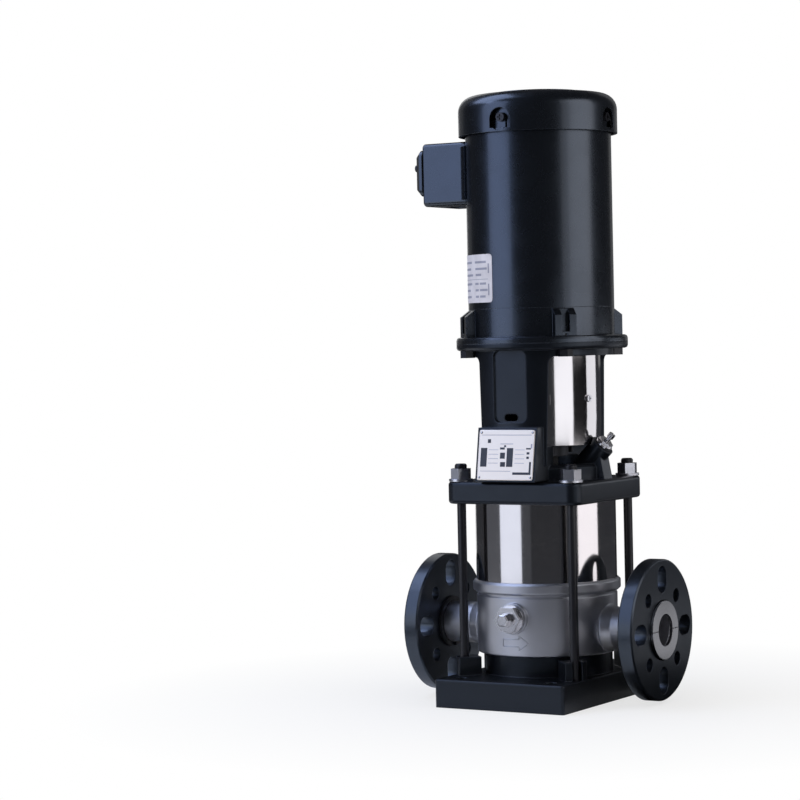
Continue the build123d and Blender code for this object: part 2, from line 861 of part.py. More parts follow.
with BuildPart() as shaft_nut:
    with BuildSketch(Plane.XY.offset(z_nut_low)):
        hexagon(shaft_nut_flats)
    extrude(amount=shaft_nut_height)
    disc(journal_radius, z_nut_low, z_stack)
    disc(shaft_radius + running, z_nut_low, z_stack, Mode.SUBTRACT)
shaft_nut.part.label = "shaft_nut"
export_step(shaft_nut.part, "parts/shaft_nut.step")

# Pump head: square plate, hub and motor stool in one casting
column_radius = column_outside / 2
column_bore = column_inside / 2
z_window_top = z_stool_ring - window_top_band
vent_plane = Plane(origin=(vent_reach, 0, z_plate + vent_height), x_dir=(0, 1, 0), z_dir=(1, 0, 1))
name_plane = Plane(
    origin=(0, -name_y, z_plate + name_z_above_plate),
    x_dir=(1, 0, 0),
    z_dir=(0, -cos(radians(name_tilt)), sin(radians(name_tilt))),
)


def polar_point(radius, azimuth):
    """A point by its radius and its angle from +X."""
    return (radius * cos(radians(azimuth)), radius * sin(radians(azimuth)))


with BuildPart() as window_cutter:
    for middle in (0, 180):
        half = 90 - column_half_angle
        with BuildSketch(Plane.XY.offset(z_hub)):
            with BuildLine():
                Polyline(
                    polar_point(column_bore / 2, middle - half),
                    polar_point(motor_flange_diameter, middle - half),
                    polar_point(motor_flange_diameter, middle + half),
                    polar_point(column_bore / 2, middle + half),
                    close=True,
                )
            make_face()
        extrude(amount=z_window_top - z_hub, taper=window_taper)
    long_edges = window_cutter.faces().group_by(Axis.Z)[-1].edges()
    fillet([e for e in long_edges if e.length < motor_flange_diameter], window_corner)

with BuildPart() as pump_head:
    with BuildSketch(Plane.XY.offset(z_head)):
        RectangleRounded(plate_side, plate_side, plate_corner)
    extrude(amount=plate_thickness)
    fillet(pump_head.edges().group_by(Axis.Z)[-1] + pump_head.edges().group_by(Axis.Z)[0], plate_edge)
    turned([
        (0, z_plate),
        (hub_diameter / 2, z_plate),
        (hub_diameter / 2, z_hub - hub_edge),
        (hub_diameter / 2 - hub_edge, z_hub),
        (neck_diameter / 2, z_hub),
        (neck_diameter / 2, z_neck - sill_height),
        (column_bore - gap, z_neck - sill_height),
        (column_bore - gap, z_neck),
        (0, z_neck),
    ])
    tube(column_radius, column_bore, z_hub, z_stool_ring)
    add(window_cutter.part, mode=Mode.SUBTRACT)
    turned([
        (register_diameter / 2, z_stool_ring),
        (motor_flange_diameter / 2 - motor_flange_edge, z_stool_ring),
        (motor_flange_diameter / 2 - motor_flange_edge * 0.3, z_stool_ring + motor_flange_edge * 0.3),
        (motor_flange_diameter / 2, z_stool_ring + motor_flange_edge),
        (motor_flange_diameter / 2, z_motor),
        (register_diameter / 2, z_motor),
    ])

    # The nameplate's boss leans out from the front column
    with BuildSketch(Plane.YZ.offset(-(name_width / 2 + name_margin))):
        lean = tan(radians(name_tilt))
        boss_top = z_plate + name_z_above_plate + name_length / 2 + name_margin
        boss_low = z_plate + boss_bottom_gap
        with BuildLine():
            Polyline(
                (-(seal_chamber_diameter / 2 + 4), boss_low),
                (-(name_y + (z_plate + name_z_above_plate - boss_low) * lean), boss_low),
                (-(name_y + (z_plate + name_z_above_plate - boss_top) * lean), boss_top),
                (-(column_bore + 2), boss_top),
                (-(column_bore + 2), z_neck),
                (-(seal_chamber_diameter / 2 + 4), z_neck),
                close=True,
            )
        make_face()
    extrude(amount=name_width + 2 * name_margin)

    # The vent's boss stands at 45 degrees on the +X side, on a gusset
    with BuildSketch(vent_plane):
        Circle(vent_boss / 2)
    extrude(amount=-vent_reach / 2.2)
    with BuildSketch(Plane.XZ.offset(-gusset_width / 2)):
        with BuildLine():
            Polyline(
                (neck_diameter / 2 - 3, z_plate - 1),
                (hub_diameter / 2 + 8, z_plate - 1),
                (vent_reach + 1, z_plate + vent_height - vent_boss / 2 + 1),
                (neck_diameter / 2 - 3, z_neck - 6),
                close=True,
            )
        make_face()
    extrude(amount=gusset_width)

    # Hollows inside: room for the guards, seal chamber, gland bore, sleeve groove, stack's recess
    disc(column_bore, z_neck, z_stool_ring, Mode.SUBTRACT)
    disc(seal_chamber_diameter / 2, z_head, z_neck - seal_chamber_roof, Mode.SUBTRACT)
    disc(gland_bore / 2, z_neck - seal_chamber_roof, z_neck, Mode.SUBTRACT)
    disc(head_recess_diameter / 2, z_head, z_head + head_recess, Mode.SUBTRACT)
    tube(sleeve_radius + seat, sleeve_radius - sleeve_wall - seat, z_head, z_sleeve_top, Mode.SUBTRACT)
    with BuildSketch(vent_plane):
        Circle(vent_thread / 2)
    extrude(amount=-vent_reach / 2.2 - 6, mode=Mode.SUBTRACT)

    # The front column has a long recess with a drain slot at its foot
    with BuildSketch(Plane.XZ.offset(column_radius - column_recess_depth)):
        recess_low = z_plate + column_recess_bottom
        recess_high = z_stool_ring
        with Locations((0, (recess_low + recess_high) / 2)):
            RectangleRounded(column_recess_width, recess_high - recess_low, window_corner)
    extrude(amount=column_recess_depth + 2, mode=Mode.SUBTRACT)
    with BuildSketch(Plane.XZ.offset(column_bore - 2)):
        with Locations((0, recess_low + drain_slot_height / 2 + 1.5)):
            SlotOverall(drain_slot_length, drain_slot_height)
    extrude(amount=column_radius, mode=Mode.SUBTRACT)

    # Holes for the stay bolts, the gland screws and the motor bolts
    with BuildSketch(Plane.XY.offset(z_neck)):
        with PolarLocations(gland_screw_circle / 2, 4, start_angle=45):
            Circle(gland_screw / 2 + seat)
    extrude(amount=-gland_screw_depth, mode=Mode.SUBTRACT)
    with BuildSketch(Plane.XY.offset(z_head)):
        with Locations(*stay_places(0)):
            Circle(stay_thread / 2 + 0.6)
    extrude(amount=plate_thickness, mode=Mode.SUBTRACT)
    with BuildSketch(Plane.XY.offset(z_stool_ring)):
        with PolarLocations(motor_bolt_circle / 2, 4, start_angle=45):
            Circle(motor_bolt / 2 + 0.5)
    extrude(amount=stool_ring_thickness, mode=Mode.SUBTRACT)
    with BuildSketch(Plane.XY.offset(z_stool_ring)):
        with PolarLocations(motor_bolt_circle / 2, 4, start_angle=45):
            Circle(motor_bolt_spot / 2)
    extrude(amount=-(motor_bolt_head + window_top_band), mode=Mode.SUBTRACT)
pump_head.part.label = "pump_head"
export_step(pump_head.part, "parts/pump_head.step")

# Shaft seal: a seat held in the gland, and a face on bellows that turns with the shaft
z_seal = z_neck - seal_chamber_roof
with BuildPart() as gland_plate:
    turned([
        (shoulder_radius + 1, z_seal),
        (gland_bore / 2 - seat, z_seal),
        (gland_bore / 2 - seat, z_neck),
        (gland_flange_diameter / 2, z_neck),
        (gland_flange_diameter / 2, z_gland),
        (shoulder_radius + 1, z_gland),
    ])
    disc(seal_face_diameter / 2 + seat, z_seal, z_seal + seal_seat_height, Mode.SUBTRACT)
    with BuildSketch(Plane.XY.offset(z_neck)):
        with PolarLocations(gland_screw_circle / 2, 4, start_angle=45):
            Circle(gland_screw / 2 + seat)
    extrude(amount=gland_flange, mode=Mode.SUBTRACT)
gland_plate.part.label = "gland_plate"
export_step(gland_plate.part, "parts/gland_plate.step")

with BuildPart() as gland_screws:
    with BuildSketch(Plane.XY.offset(z_gland)):
        with PolarLocations(gland_screw_circle / 2, 4, start_angle=45):
            Circle(gland_screw / 2)
    extrude(amount=-(gland_flange + gland_screw_depth - 1))
    with BuildSketch(Plane.XY.offset(z_gland)):
        with PolarLocations(gland_screw_circle / 2, 4, start_angle=45):
            hexagon(gland_head)
    extrude(amount=gland_head_height)
gland_screws.part.label = "gland_screws"
export_step(gland_screws.part, "parts/gland_screws.step")

with BuildPart() as seal_seat:
    tube(seal_face_diameter / 2, shoulder_radius + 1.5, z_seal, z_seal + seal_seat_height)
seal_seat.part.label = "seal_seat"
export_step(seal_seat.part, "parts/seal_seat.step")

with BuildPart() as seal_rotor:
    seal_top = z_seal - running
    bellows_top = seal_top - seal_rotor_height
    folds = []
    for turn in range(bellows_turns):
        fold = bellows_top - turn * bellows_pitch
        folds += [(bellows_diameter / 2 - 3, fold), (bellows_diameter / 2, fold - bellows_pitch / 2)]
    bellows_end = bellows_top - bellows_turns * bellows_pitch
    turned(
        [(shoulder_radius + running, bellows_end), (shoulder_radius + running, seal_top),
         (seal_face_diameter / 2 - 1, seal_top), (seal_face_diameter / 2 - 1, bellows_top)]
        + folds + [(bellows_diameter / 2 - 3, bellows_end)]
    )
seal_rotor.part.label = "seal_rotor"
export_step(seal_rotor.part, "parts/seal_rotor.step")

# Shell coupling: two halves clamped on both shafts by four screws, with a pin below
z_pin = z_coupling + coupling_length / 4
z_step = z_shaft_top + 1
screw_levels = [z_coupling + coupling_length / 2 + k * coupling_screw_pitch / 2 for k in (-1, 1)]
screw_places = [(x * coupling_screw_reach, z) for x in (-1, 1) for z in screw_levels]
head_seat = coupling_diameter / 2 - coupling_screw_reach + 1
with BuildPart() as coupling_halves:
    disc(coupling_diameter / 2, z_coupling, z_coupling_top)
    chamfer(coupling_halves.edges().filter_by(GeomType.CIRCLE), coupling_edge)
    disc(shoulder_radius + running, z_coupling, z_step, Mode.SUBTRACT)
    disc(motor_shaft_radius + running, z_step, z_coupling_top, Mode.SUBTRACT)
    with Locations((0, 0, (z_coupling + z_coupling_top) / 2)):
        Box(coupling_diameter, coupling_split, coupling_length, mode=Mode.SUBTRACT)
    with Locations((0, 0, z_pin)):
        Cylinder(coupling_pin / 2 + running, coupling_diameter / 2, rotation=(0, 90, 0), mode=Mode.SUBTRACT)
    with BuildSketch(Plane.XZ.offset(-head_seat)):
        with Locations(*screw_places):
            Circle(coupling_screw / 2 + seat)
    extrude(amount=coupling_diameter, mode=Mode.SUBTRACT)
    with BuildSketch(Plane.XZ.offset(head_seat)):
        with Locations(*screw_places):
            Circle(coupling_screw_head / 2 + 2 * seat)
    extrude(amount=coupling_diameter / 2, mode=Mode.SUBTRACT)
coupling_halves.part.label = "coupling_halves"
export_step(coupling_halves.part, "parts/coupling_halves.step")

with BuildPart() as coupling_screws:
    with BuildSketch(Plane.XZ.offset(head_seat)):
        with Locations(*screw_places):
            Circle(coupling_screw / 2)
    extrude(amount=-(2 * head_seat - 1))
    with BuildSketch(Plane.XZ.offset(head_seat)):
        with Locations(*screw_places):
            Circle(coupling_screw_head / 2)
    extrude(amount=coupling_screw)
    with BuildSketch(Plane.XZ.offset(head_seat + coupling_screw)):
        with Locations(*screw_places):
            hexagon(coupling_screw * 0.75)
    extrude(amount=-coupling_screw / 2, mode=Mode.SUBTRACT)
coupling_screws.part.label = "coupling_screws"
export_step(coupling_screws.part, "parts/coupling_screws.step")

with BuildPart() as coupling_dowel:
    with Locations((0, 0, z_pin)):
        Cylinder(coupling_pin / 2 - running, coupling_diameter / 2 - 2, rotation=(0, 90, 0))
coupling_dowel.part.label = "coupling_dowel"
export_step(coupling_dowel.part, "parts/coupling_dowel.step")

# Coupling guards: a curved polished sheet behind each window, creased near its foot
guard_radius = column_bore - gap
z_crease = z_neck + guard_crease
z_guard_screw = z_neck + guard_screw_height
z_guard_top = z_stool_ring - seat


def swept(points, middle, half_angle, mode=Mode.ADD):
    """Turn an outline of (radius, height) points through part of a circle."""
    start = radians(middle - half_angle)
    plane = Plane(origin=(0, 0, 0), x_dir=(cos(start), sin(start), 0), z_dir=(sin(start), -cos(start), 0))
    with BuildSketch(plane) as outline:
        with BuildLine():
            Polyline(*points, close=True)
        make_face()
    revolve(outline.sketch, axis=Axis.Z, revolution_arc=2 * half_angle, mode=mode)


with BuildPart() as coupling_guards:
    for middle in (0, 180):
        swept([
            (guard_radius - guard_taper, z_neck),
            (guard_radius, z_crease),
            (guard_radius, z_guard_top),
            (guard_radius - guard_thickness, z_guard_top),
            (guard_radius - guard_thickness, z_crease),
            (guard_radius - guard_taper - guard_thickness, z_neck),
        ], middle, guard_half_angle)
        for edge in (-1, 1):
            swept([
                (guard_radius - guard_thickness, z_guard_screw - 5),
                (guard_radius + 3, z_guard_screw - 5),
                (guard_radius + 3, z_guard_screw + 5),
                (guard_radius - guard_thickness, z_guard_screw + 5),
            ], middle + edge * (90 - column_half_angle - 4), 0.7)
        with Locations(Plane(origin=(0, 0, z_guard_screw),
                             z_dir=(*polar_point(1, middle + guard_screw_turn), 0))):
            Cylinder(guard_screw / 2 + 0.1, column_radius,
                     align=(Align.CENTER, Align.CENTER, Align.MIN), mode=Mode.SUBTRACT)
coupling_guards.part.label = "coupling_guards"
export_step(coupling_guards.part, "parts/coupling_guards.step")

with BuildPart() as guard_screws:
    for middle in (0, 180):
        plane = Plane(origin=(*polar_point(guard_radius, middle + guard_screw_turn), z_guard_screw),
                      z_dir=(*polar_point(1, middle + guard_screw_turn), 0))
        with BuildSketch(plane):
            Circle(guard_head / 2)
        extrude(amount=guard_head_height)
        with BuildSketch(plane):
            Circle(guard_screw / 2)
        extrude(amount=-guard_thickness - 2)
guard_screws.part.label = "guard_screws"
export_step(guard_screws.part, "parts/guard_screws.step")

# Vent plug with its bleed screw, and the flat washers under both plugs
vent_shank = vent_screw_diameter / 2
with BuildPart() as vent_plug:
    with BuildSketch(vent_plane.offset(vent_washer)):
        Circle(vent_plug_diameter / 2)
    extrude(amount=vent_plug_head)
    with BuildSketch(vent_plane.offset(vent_washer + vent_plug_head)):
        hexagon(vent_plug_flats)
    extrude(amount=vent_plug_hex)
    with BuildSketch(vent_plane.offset(vent_washer)):
        Circle(vent_thread / 2 - seat)
    extrude(amount=-vent_plug_length)
    with BuildSketch(vent_plane.offset(vent_washer + vent_plug_head + vent_plug_hex)):
        Circle(vent_shank + gap)
    extrude(amount=-(vent_plug_length + vent_plug_head + vent_plug_hex), mode=Mode.SUBTRACT)
vent_plug.part.label = "vent_plug"
export_step(vent_plug.part, "parts/vent_plug.step")

with BuildPart() as plug_washers:
    with BuildSketch(front_plane(drain_boss_reach)):
        Circle(drain_collar / 2 - 0.8)
        Circle(drain_thread / 2, mode=Mode.SUBTRACT)
    extrude(amount=plug_washer)
    with BuildSketch(vent_plane):
        Circle(vent_plug_diameter / 2 - 0.8)
        Circle(vent_thread / 2, mode=Mode.SUBTRACT)
    extrude(amount=vent_washer)
plug_washers.part.label = "plug_washers"
export_step(plug_washers.part, "parts/plug_washers.step")

vent_top = vent_washer + vent_plug_head + vent_plug_hex
vent_groove = vent_washer - 1
vent_groove_depth = 1.2
vent_ring_width = 1.6
with BuildPart() as vent_screw:
    with BuildSketch(vent_plane.offset(-vent_plug_length + 2)):
        Circle(vent_shank)
    extrude(amount=vent_top + vent_plug_length - 2 + gap)
    with BuildSketch(vent_plane.offset(vent_groove)):
        Circle(vent_shank)
        Circle(vent_shank - vent_groove_depth, mode=Mode.SUBTRACT)
    extrude(amount=-(vent_ring_width + 2 * gap), mode=Mode.SUBTRACT)
    with BuildSketch(vent_plane.offset(vent_top + gap)):
        Circle(vent_neck / 2)
    extrude(amount=vent_screw_head)
    with BuildSketch(vent_plane.offset(vent_top + gap + vent_screw_head - vent_knob_height)):
        Circle(vent_head_diameter / 2)
    extrude(amount=vent_knob_height)
    with BuildSketch(vent_plane.offset(vent_top + gap + vent_screw_head)):
        Rectangle(2 * vent_head_diameter, vent_screw_slot)
    extrude(amount=-vent_knob_height / 3, mode=Mode.SUBTRACT)
vent_screw.part.label = "vent_screw"
export_step(vent_screw.part, "parts/vent_screw.step")

with BuildPart() as vent_o_ring:
    with BuildSketch(vent_plane.offset(vent_groove - gap)):
        Circle(vent_shank)
        Circle(vent_shank - vent_groove_depth + gap, mode=Mode.SUBTRACT)
    extrude(amount=-vent_ring_width)
vent_o_ring.part.label = "vent_o_ring"
export_step(vent_o_ring.part, "parts/vent_o_ring.step")

# Nameplate: bare, on the leaning boss
with BuildPart() as nameplate:
    with BuildSketch(name_plane):
        RectangleRounded(name_width, name_length, 2)
    extrude(amount=name_thickness)
nameplate.part.label = "nameplate"
export_step(nameplate.part, "parts/nameplate.step")

# Motor: end bell with its flange, frame, fan end bell
frame_radius = frame_diameter / 2
frame_bore = frame_radius - frame_wall
housing_radius = bearing_outside / 2 + running
shaft_hole = bearing_bore / 2 + shaft_play
relief_hole = bearing_bore / 2 + bearing_race + bearing_relief
z_bearing_low = z_bell + 3
z_bearing_high = z_frame_top - bearing_width / 2
with BuildPart() as drive_end_bell:
    turned([
        (shaft_hole, z_motor - rabbet),
        (register_diameter / 2 - seat, z_motor - rabbet),
        (register_diameter / 2 - seat, z_motor),
        (motor_flange_diameter / 2, z_motor),
        (motor_flange_diameter / 2, z_bell - motor_flange_edge),
        (motor_flange_diameter / 2 - motor_flange_edge * 0.3, z_bell - motor_flange_edge * 0.3),
        (motor_flange_diameter / 2 - motor_flange_edge, z_bell),
        (frame_radius, z_bell),
        (frame_radius, z_frame),
        (frame_bore - seat, z_frame),
        (frame_bore - seat, z_frame + rabbet),
        (frame_radius - bell_wall, z_frame + rabbet),
        (frame_radius - bell_wall, z_bell + rabbet),
        (housing_radius + housing_wall, z_bell + rabbet),
        (housing_radius + housing_wall, z_bearing_low + bearing_width),
        (housing_radius, z_bearing_low + bearing_width),
        (housing_radius, z_bearing_low),
        (relief_hole, z_bearing_low),
        (relief_hole, z_bearing_low - bearing_relief),
        (shaft_hole, z_bearing_low - bearing_relief),
    ])
    ear_middle = (ear_reach + frame_radius - 2) / 2
    with BuildSketch(Plane.XY.offset(z_bell)):
        with PolarLocations(ear_middle, 4, start_angle=45):
            Rectangle(ear_reach - frame_radius + 2, ear_width)
    extrude(amount=bell_height - 1)
    turned([
        (frame_radius + gap, z_frame - 1),
        (ear_reach + 1, z_frame - 1 - ear_slope),
        (ear_reach + 1, z_frame),
        (frame_radius + gap, z_frame),
    ], Mode.SUBTRACT)
    with BuildSketch(Plane.XY.offset(z_bell + 4)):
        with PolarLocations(ear_reach, 4, start_angle=45):
            Rectangle(2 * (ear_reach - frame_radius - 1), ear_slot)
    extrude(amount=bell_height, mode=Mode.SUBTRACT)
    with BuildSketch(Plane.XY.offset(z_motor)):
        with PolarLocations(motor_bolt_circle / 2, 4, start_angle=45):
            Circle(motor_bolt / 2 + 0.1)
    extrude(amount=bell_flange + 2, mode=Mode.SUBTRACT)
drive_end_bell.part.label = "drive_end_bell"
export_step(drive_end_bell.part, "parts/drive_end_bell.step")

with BuildPart() as motor_bolts:
    with BuildSketch(Plane.XY.offset(z_stool_ring)):
        with PolarLocations(motor_bolt_circle / 2, 4, start_angle=45):
            hexagon(motor_bolt_flats)
    extrude(amount=-motor_bolt_head)
    with BuildSketch(Plane.XY.offset(z_stool_ring)):
        with PolarLocations(motor_bolt_circle / 2, 4, start_angle=45):
            Circle(motor_bolt / 2)
    extrude(amount=stool_ring_thickness + bell_flange + 1)
motor_bolts.part.label = "motor_bolts"
export_step(motor_bolts.part, "parts/motor_bolts.step")

with BuildPart() as motor_frame:
    tube(frame_radius, frame_bore, z_frame, z_frame_top)
    with Locations(Plane(origin=(0, 0, z_box), z_dir=(-1, 0, 0))):
        Cylinder(cable_entry / 2, frame_diameter, align=(Align.CENTER, Align.CENTER, Align.MIN),
                 mode=Mode.SUBTRACT)
motor_frame.part.label = "motor_frame"
export_step(motor_frame.part, "parts/motor_frame.step")

z_stator = z_frame + stator_above_bell
z_stator_top = z_stator + stator_length
with BuildPart() as stator_core:
    tube(frame_bore - seat, stator_bore / 2, z_stator, z_stator_top)
stator_core.part.label = "stator_core"
export_step(stator_core.part, "parts/stator_core.step")

with BuildPart() as stator_windings:
    for low in (z_stator - winding_height, z_stator_top):
        tube(winding_outside / 2, winding_inside / 2, low, low + winding_height)
stator_windings.part.label = "stator_windings"
export_step(stator_windings.part, "parts/stator_windings.step")

with BuildPart() as rotor_core:
    rotor_radius = stator_bore / 2 - air_gap
    turned([
        (bearing_bore / 2 + running, z_stator),
        (rotor_radius - 14, z_stator),
        (rotor_radius - 14, z_stator - rotor_end_ring),
        (rotor_radius - 2, z_stator - rotor_end_ring),
        (rotor_radius, z_stator),
        (rotor_radius, z_stator_top),
        (rotor_radius - 2, z_stator_top + rotor_end_ring),
        (rotor_radius - 14, z_stator_top + rotor_end_ring),
        (rotor_radius - 14, z_stator_top),
        (bearing_bore / 2 + running, z_stator_top),
    ])
rotor_core.part.label = "rotor_core"
export_step(rotor_core.part, "parts/rotor_core.step")

z_fan = z_fan_bell + fan_lift
with BuildPart() as motor_shaft:
    turned([
        (0, z_motor - motor_shaft_reach),
        (motor_shaft_radius, z_motor - motor_shaft_reach),
        (motor_shaft_radius, z_bearing_low),
        (bearing_bore / 2, z_bearing_low),
        (bearing_bore / 2, z_bearing_high + bearing_width),
        (motor_shaft_radius, z_bearing_high + bearing_width),
        (motor_shaft_radius, z_fan + fan_height),
        (0, z_fan + fan_height),
    ])
motor_shaft.part.label = "motor_shaft"
export_step(motor_shaft.part, "parts/motor_shaft.step")

race_inside = bearing_bore / 2 + running
race_outside = bearing_bore / 2 + bearing_race
with BuildPart() as bearing_inner_rings:
    for low in (z_bearing_low, z_bearing_high):
        tube(race_outside, race_inside, low, low + bearing_width)
bearing_inner_rings.part.label = "bearing_inner_rings"
export_step(bearing_inner_rings.part, "parts/bearing_inner_rings.step")

with BuildPart() as bearing_outer_rings:
    for low in (z_bearing_low, z_bearing_high):
        high = low + bearing_width
        turned([
            (race_outside + gap, low),
            (bearing_outside / 2, low),
            (bearing_outside / 2, high),
            (race_outside + gap, high),
            (race_outside + gap, high - bearing_shield),
            (bearing_outside / 2 - bearing_race, high - bearing_shield),
            (bearing_outside / 2 - bearing_race, low + bearing_shield),
            (race_outside + gap, low + bearing_shield),
        ])
bearing_outer_rings.part.label = "bearing_outer_rings"
export_step(bearing_outer_rings.part, "parts/bearing_outer_rings.step")

post_middle = frame_radius - fan_post_depth / 2
with BuildPart() as fan_end_bell:
    turned([
        (shaft_hole, z_bearing_high + bearing_width + bearing_relief),
        (relief_hole, z_bearing_high + bearing_width + bearing_relief),
        (relief_hole, z_bearing_high + bearing_width),
        (housing_radius, z_bearing_high + bearing_width),
        (housing_radius, z_bearing_high),
        (housing_radius + housing_wall, z_bearing_high),
        (housing_radius + housing_wall, z_frame_top + rabbet),
        (frame_radius - bell_wall, z_frame_top + rabbet),
        (frame_radius - bell_wall, z_frame_top - rabbet),
        (frame_bore - seat, z_frame_top - rabbet),
        (frame_bore - seat, z_frame_top),
        (frame_radius, z_frame_top),
        (frame_radius, z_fan_bell),
        (shaft_hole, z_fan_bell),
    ])
    with BuildSketch(Plane.XY.offset(z_fan_bell)):
        with PolarLocations(post_middle, 4):
            Rectangle(fan_post_depth, fan_post_width)
        Circle(frame_radius, mode=Mode.INTERSECT)
    extrude(amount=fan_post_height)
    for turn in range(4):
        with Locations(Plane(origin=(0, 0, z_cover_screw), z_dir=(*polar_point(1, 90 * turn), 0))):
            Cylinder(cover_screw / 2 + 0.1, frame_diameter, align=(Align.CENTER, Align.CENTER, Align.MIN),
                     mode=Mode.SUBTRACT)
fan_end_bell.part.label = "fan_end_bell"
export_step(fan_end_bell.part, "parts/fan_end_bell.step")

with BuildPart() as fan:
    disc(fan_diameter / 2, z_fan, z_fan + fan_blade)
    disc(fan_hub / 2, z_fan, z_fan + fan_height)
    with BuildSketch(Plane.XY.offset(z_fan)):
        with PolarLocations(fan_diameter / 4 + fan_hub / 4 - 1, fan_blades):
            Rectangle(fan_diameter / 2 - fan_hub / 2, fan_blade)
    extrude(amount=fan_height)
    disc(motor_shaft_radius + running, z_fan, z_fan + fan_height, Mode.SUBTRACT)
fan.part.label = "fan"
export_step(fan.part, "parts/fan.step")

# Fan cover: a spun cap with a grille in its raised top and four arched openings,
# each round a tab that takes a screw
cover_radius = cover_diameter / 2
disc_radius = cover_disc_diameter / 2
tab_reach = frame_radius + seat


def cap(inset, mode=Mode.ADD):
    """Turn the cap's section, moved inwards by an inset."""
    rim = cover_radius - inset
    top = z_cover_top - inset
    bend = (cover_radius - cover_shoulder, z_cover_top - cover_shoulder)
    with BuildSketch(Plane.XZ) as outline:
        with BuildLine():
            Line((rim, z_cover), (rim, bend[1]))
            CenterArc(bend, cover_shoulder - inset, 0, 90)
            Polyline(
                (bend[0], top),
                (disc_radius - inset, top),
                (disc_radius - inset, top + cover_disc),
                (0, top + cover_disc),
                (0, z_cover),
                (rim, z_cover),
            )
        make_face()
    revolve(outline.sketch, axis=Axis.Z, mode=mode)


def screw_plane(turn, reach, low):
    """The upright plane that faces outwards in one of the four screw directions."""
    direction = polar_point(1, 90 * turn)
    return Plane(
        origin=(direction[0] * reach, direction[1] * reach, low),
        x_dir=(-direction[1], direction[0], 0),
        z_dir=(*direction, 0),
    )


def arch(turn, reach, low, width, height, depth, mode=Mode.ADD):
    """Push an arched block outwards from a reach."""
    with BuildSketch(screw_plane(turn, reach, low)) as outline:
        with Locations((0, (height - width / 2) / 2)):
            Rectangle(width, height - width / 2)
        with Locations((0, height - width / 2)):
            Circle(width / 2)
    extrude(outline.sketch, amount=depth, mode=mode)


with BuildPart() as fan_cover:
    cap(0)
    cap(cover_wall, Mode.SUBTRACT)
    for turn in range(4):
        arch(turn, tab_reach, z_cover + arch_lift, arch_width, arch_height, cover_radius, Mode.SUBTRACT)
        arch(turn, tab_reach, z_cover, tab_width, tab_height, tab_wall)
        with BuildSketch(screw_plane(turn, tab_reach, z_cover)):
            Rectangle(tab_width, arch_lift, align=(Align.CENTER, Align.MIN))
        extrude(amount=cover_radius - cover_wall / 2 - tab_reach)
        with Locations(Plane(origin=(0, 0, z_cover_screw), z_dir=(*polar_point(1, 90 * turn), 0))):
            Cylinder(cover_screw / 2 + 0.1, cover_diameter, align=(Align.CENTER, Align.CENTER, Align.MIN),
                     mode=Mode.SUBTRACT)
    with BuildSketch(Plane.XY.offset(z_cover_top)):
        for ring, count in enumerate(grille_counts):
            with PolarLocations(grille_circle + ring * grille_step, count):
                Rectangle(grille_slot_length, grille_slot_width)
    extrude(amount=cover_disc, mode=Mode.SUBTRACT)
fan_cover.part.label = "fan_cover"
export_step(fan_cover.part, "parts/fan_cover.step")

with BuildPart() as cover_screws:
    for turn in range(4):
        plane = screw_plane(turn, tab_reach + tab_wall, z_cover_screw)
        with BuildSketch(plane):
            Circle(cover_screw_head / 2)
        extrude(amount=cover_screw_head_height)
        with BuildSketch(plane):
            Circle(cover_screw / 2)
        extrude(amount=-(fan_post_depth - 1))
cover_screws.part.label = "cover_screws"
export_step(cover_screws.part, "parts/cover_screws.step")

# Conduit box: saddle-backed housing, gasket, bevelled lid and terminal block
box_low = z_box - box_height / 2
with BuildPart() as conduit_box:
    with Locations((-(box_reach + frame_radius / 2) / 2, 0, z_box)):
        Box(box_reach - frame_radius / 2, box_width, box_height)
    fillet(conduit_box.edges().filter_by(Axis.X), box_corner)
    fillet(conduit_box.faces().sort_by(Axis.X)[0].edges(), box_corner / 2)
    flare_x = sqrt(frame_radius ** 2 - (box_width / 2) ** 2)
    with BuildSketch(Plane.XY.offset(box_low + box_corner)):
        for back in (-1, 1):
            with BuildLine():
                ThreePointArc(
                    (-flare_x - box_flare, back * box_width / 2),
                    (-flare_x - box_flare * 0.35, back * (box_width / 2 + box_flare * 0.2)),
                    (-flare_x + box_flare * 0.2, back * (box_width / 2 + box_flare * 0.8)),
                )
                Polyline(
                    (-flare_x + box_flare * 0.2, back * (box_width / 2 + box_flare * 0.8)),
                    (-flare_x + box_flare, back * (box_width / 2 - box_flare)),
                    (-flare_x - box_flare, back * (box_width / 2 - box_flare)),
                    (-flare_x - box_flare, back * box_width / 2),
                )
            make_face()
    extrude(amount=box_height - 2 * box_corner)
    disc(frame_radius + seat, box_low, box_low + box_height, Mode.SUBTRACT)
    hollow = box_reach - frame_radius - box_wall
    with Locations((-(box_reach - hollow / 2), 0, z_box)):
        Box(hollow, box_width - 2 * box_wall, box_height - 2 * box_wall, mode=Mode.SUBTRACT)
    with Locations(Plane(origin=(0, 0, z_box), z_dir=(-1, 0, 0))):
        Cylinder(cable_entry / 2, box_reach - hollow / 2,
                 align=(Align.CENTER, Align.CENTER, Align.MIN), mode=Mode.SUBTRACT)
    with BuildSketch(Plane.XY.offset(box_low)):
        with Locations((-(box_reach - hollow / 2), 0)):
            Circle(cable_entry / 2)
    extrude(amount=box_wall, mode=Mode.SUBTRACT)
conduit_box.part.label = "conduit_box"
export_step(conduit_box.part, "parts/conduit_box.step")


def lid_plane(reach):
    """The plane that faces -X at a reach, centred on the conduit lid."""
    return Plane(origin=(-reach, 0, z_box + lid_lift), x_dir=(0, -1, 0), z_dir=(-1, 0, 0))


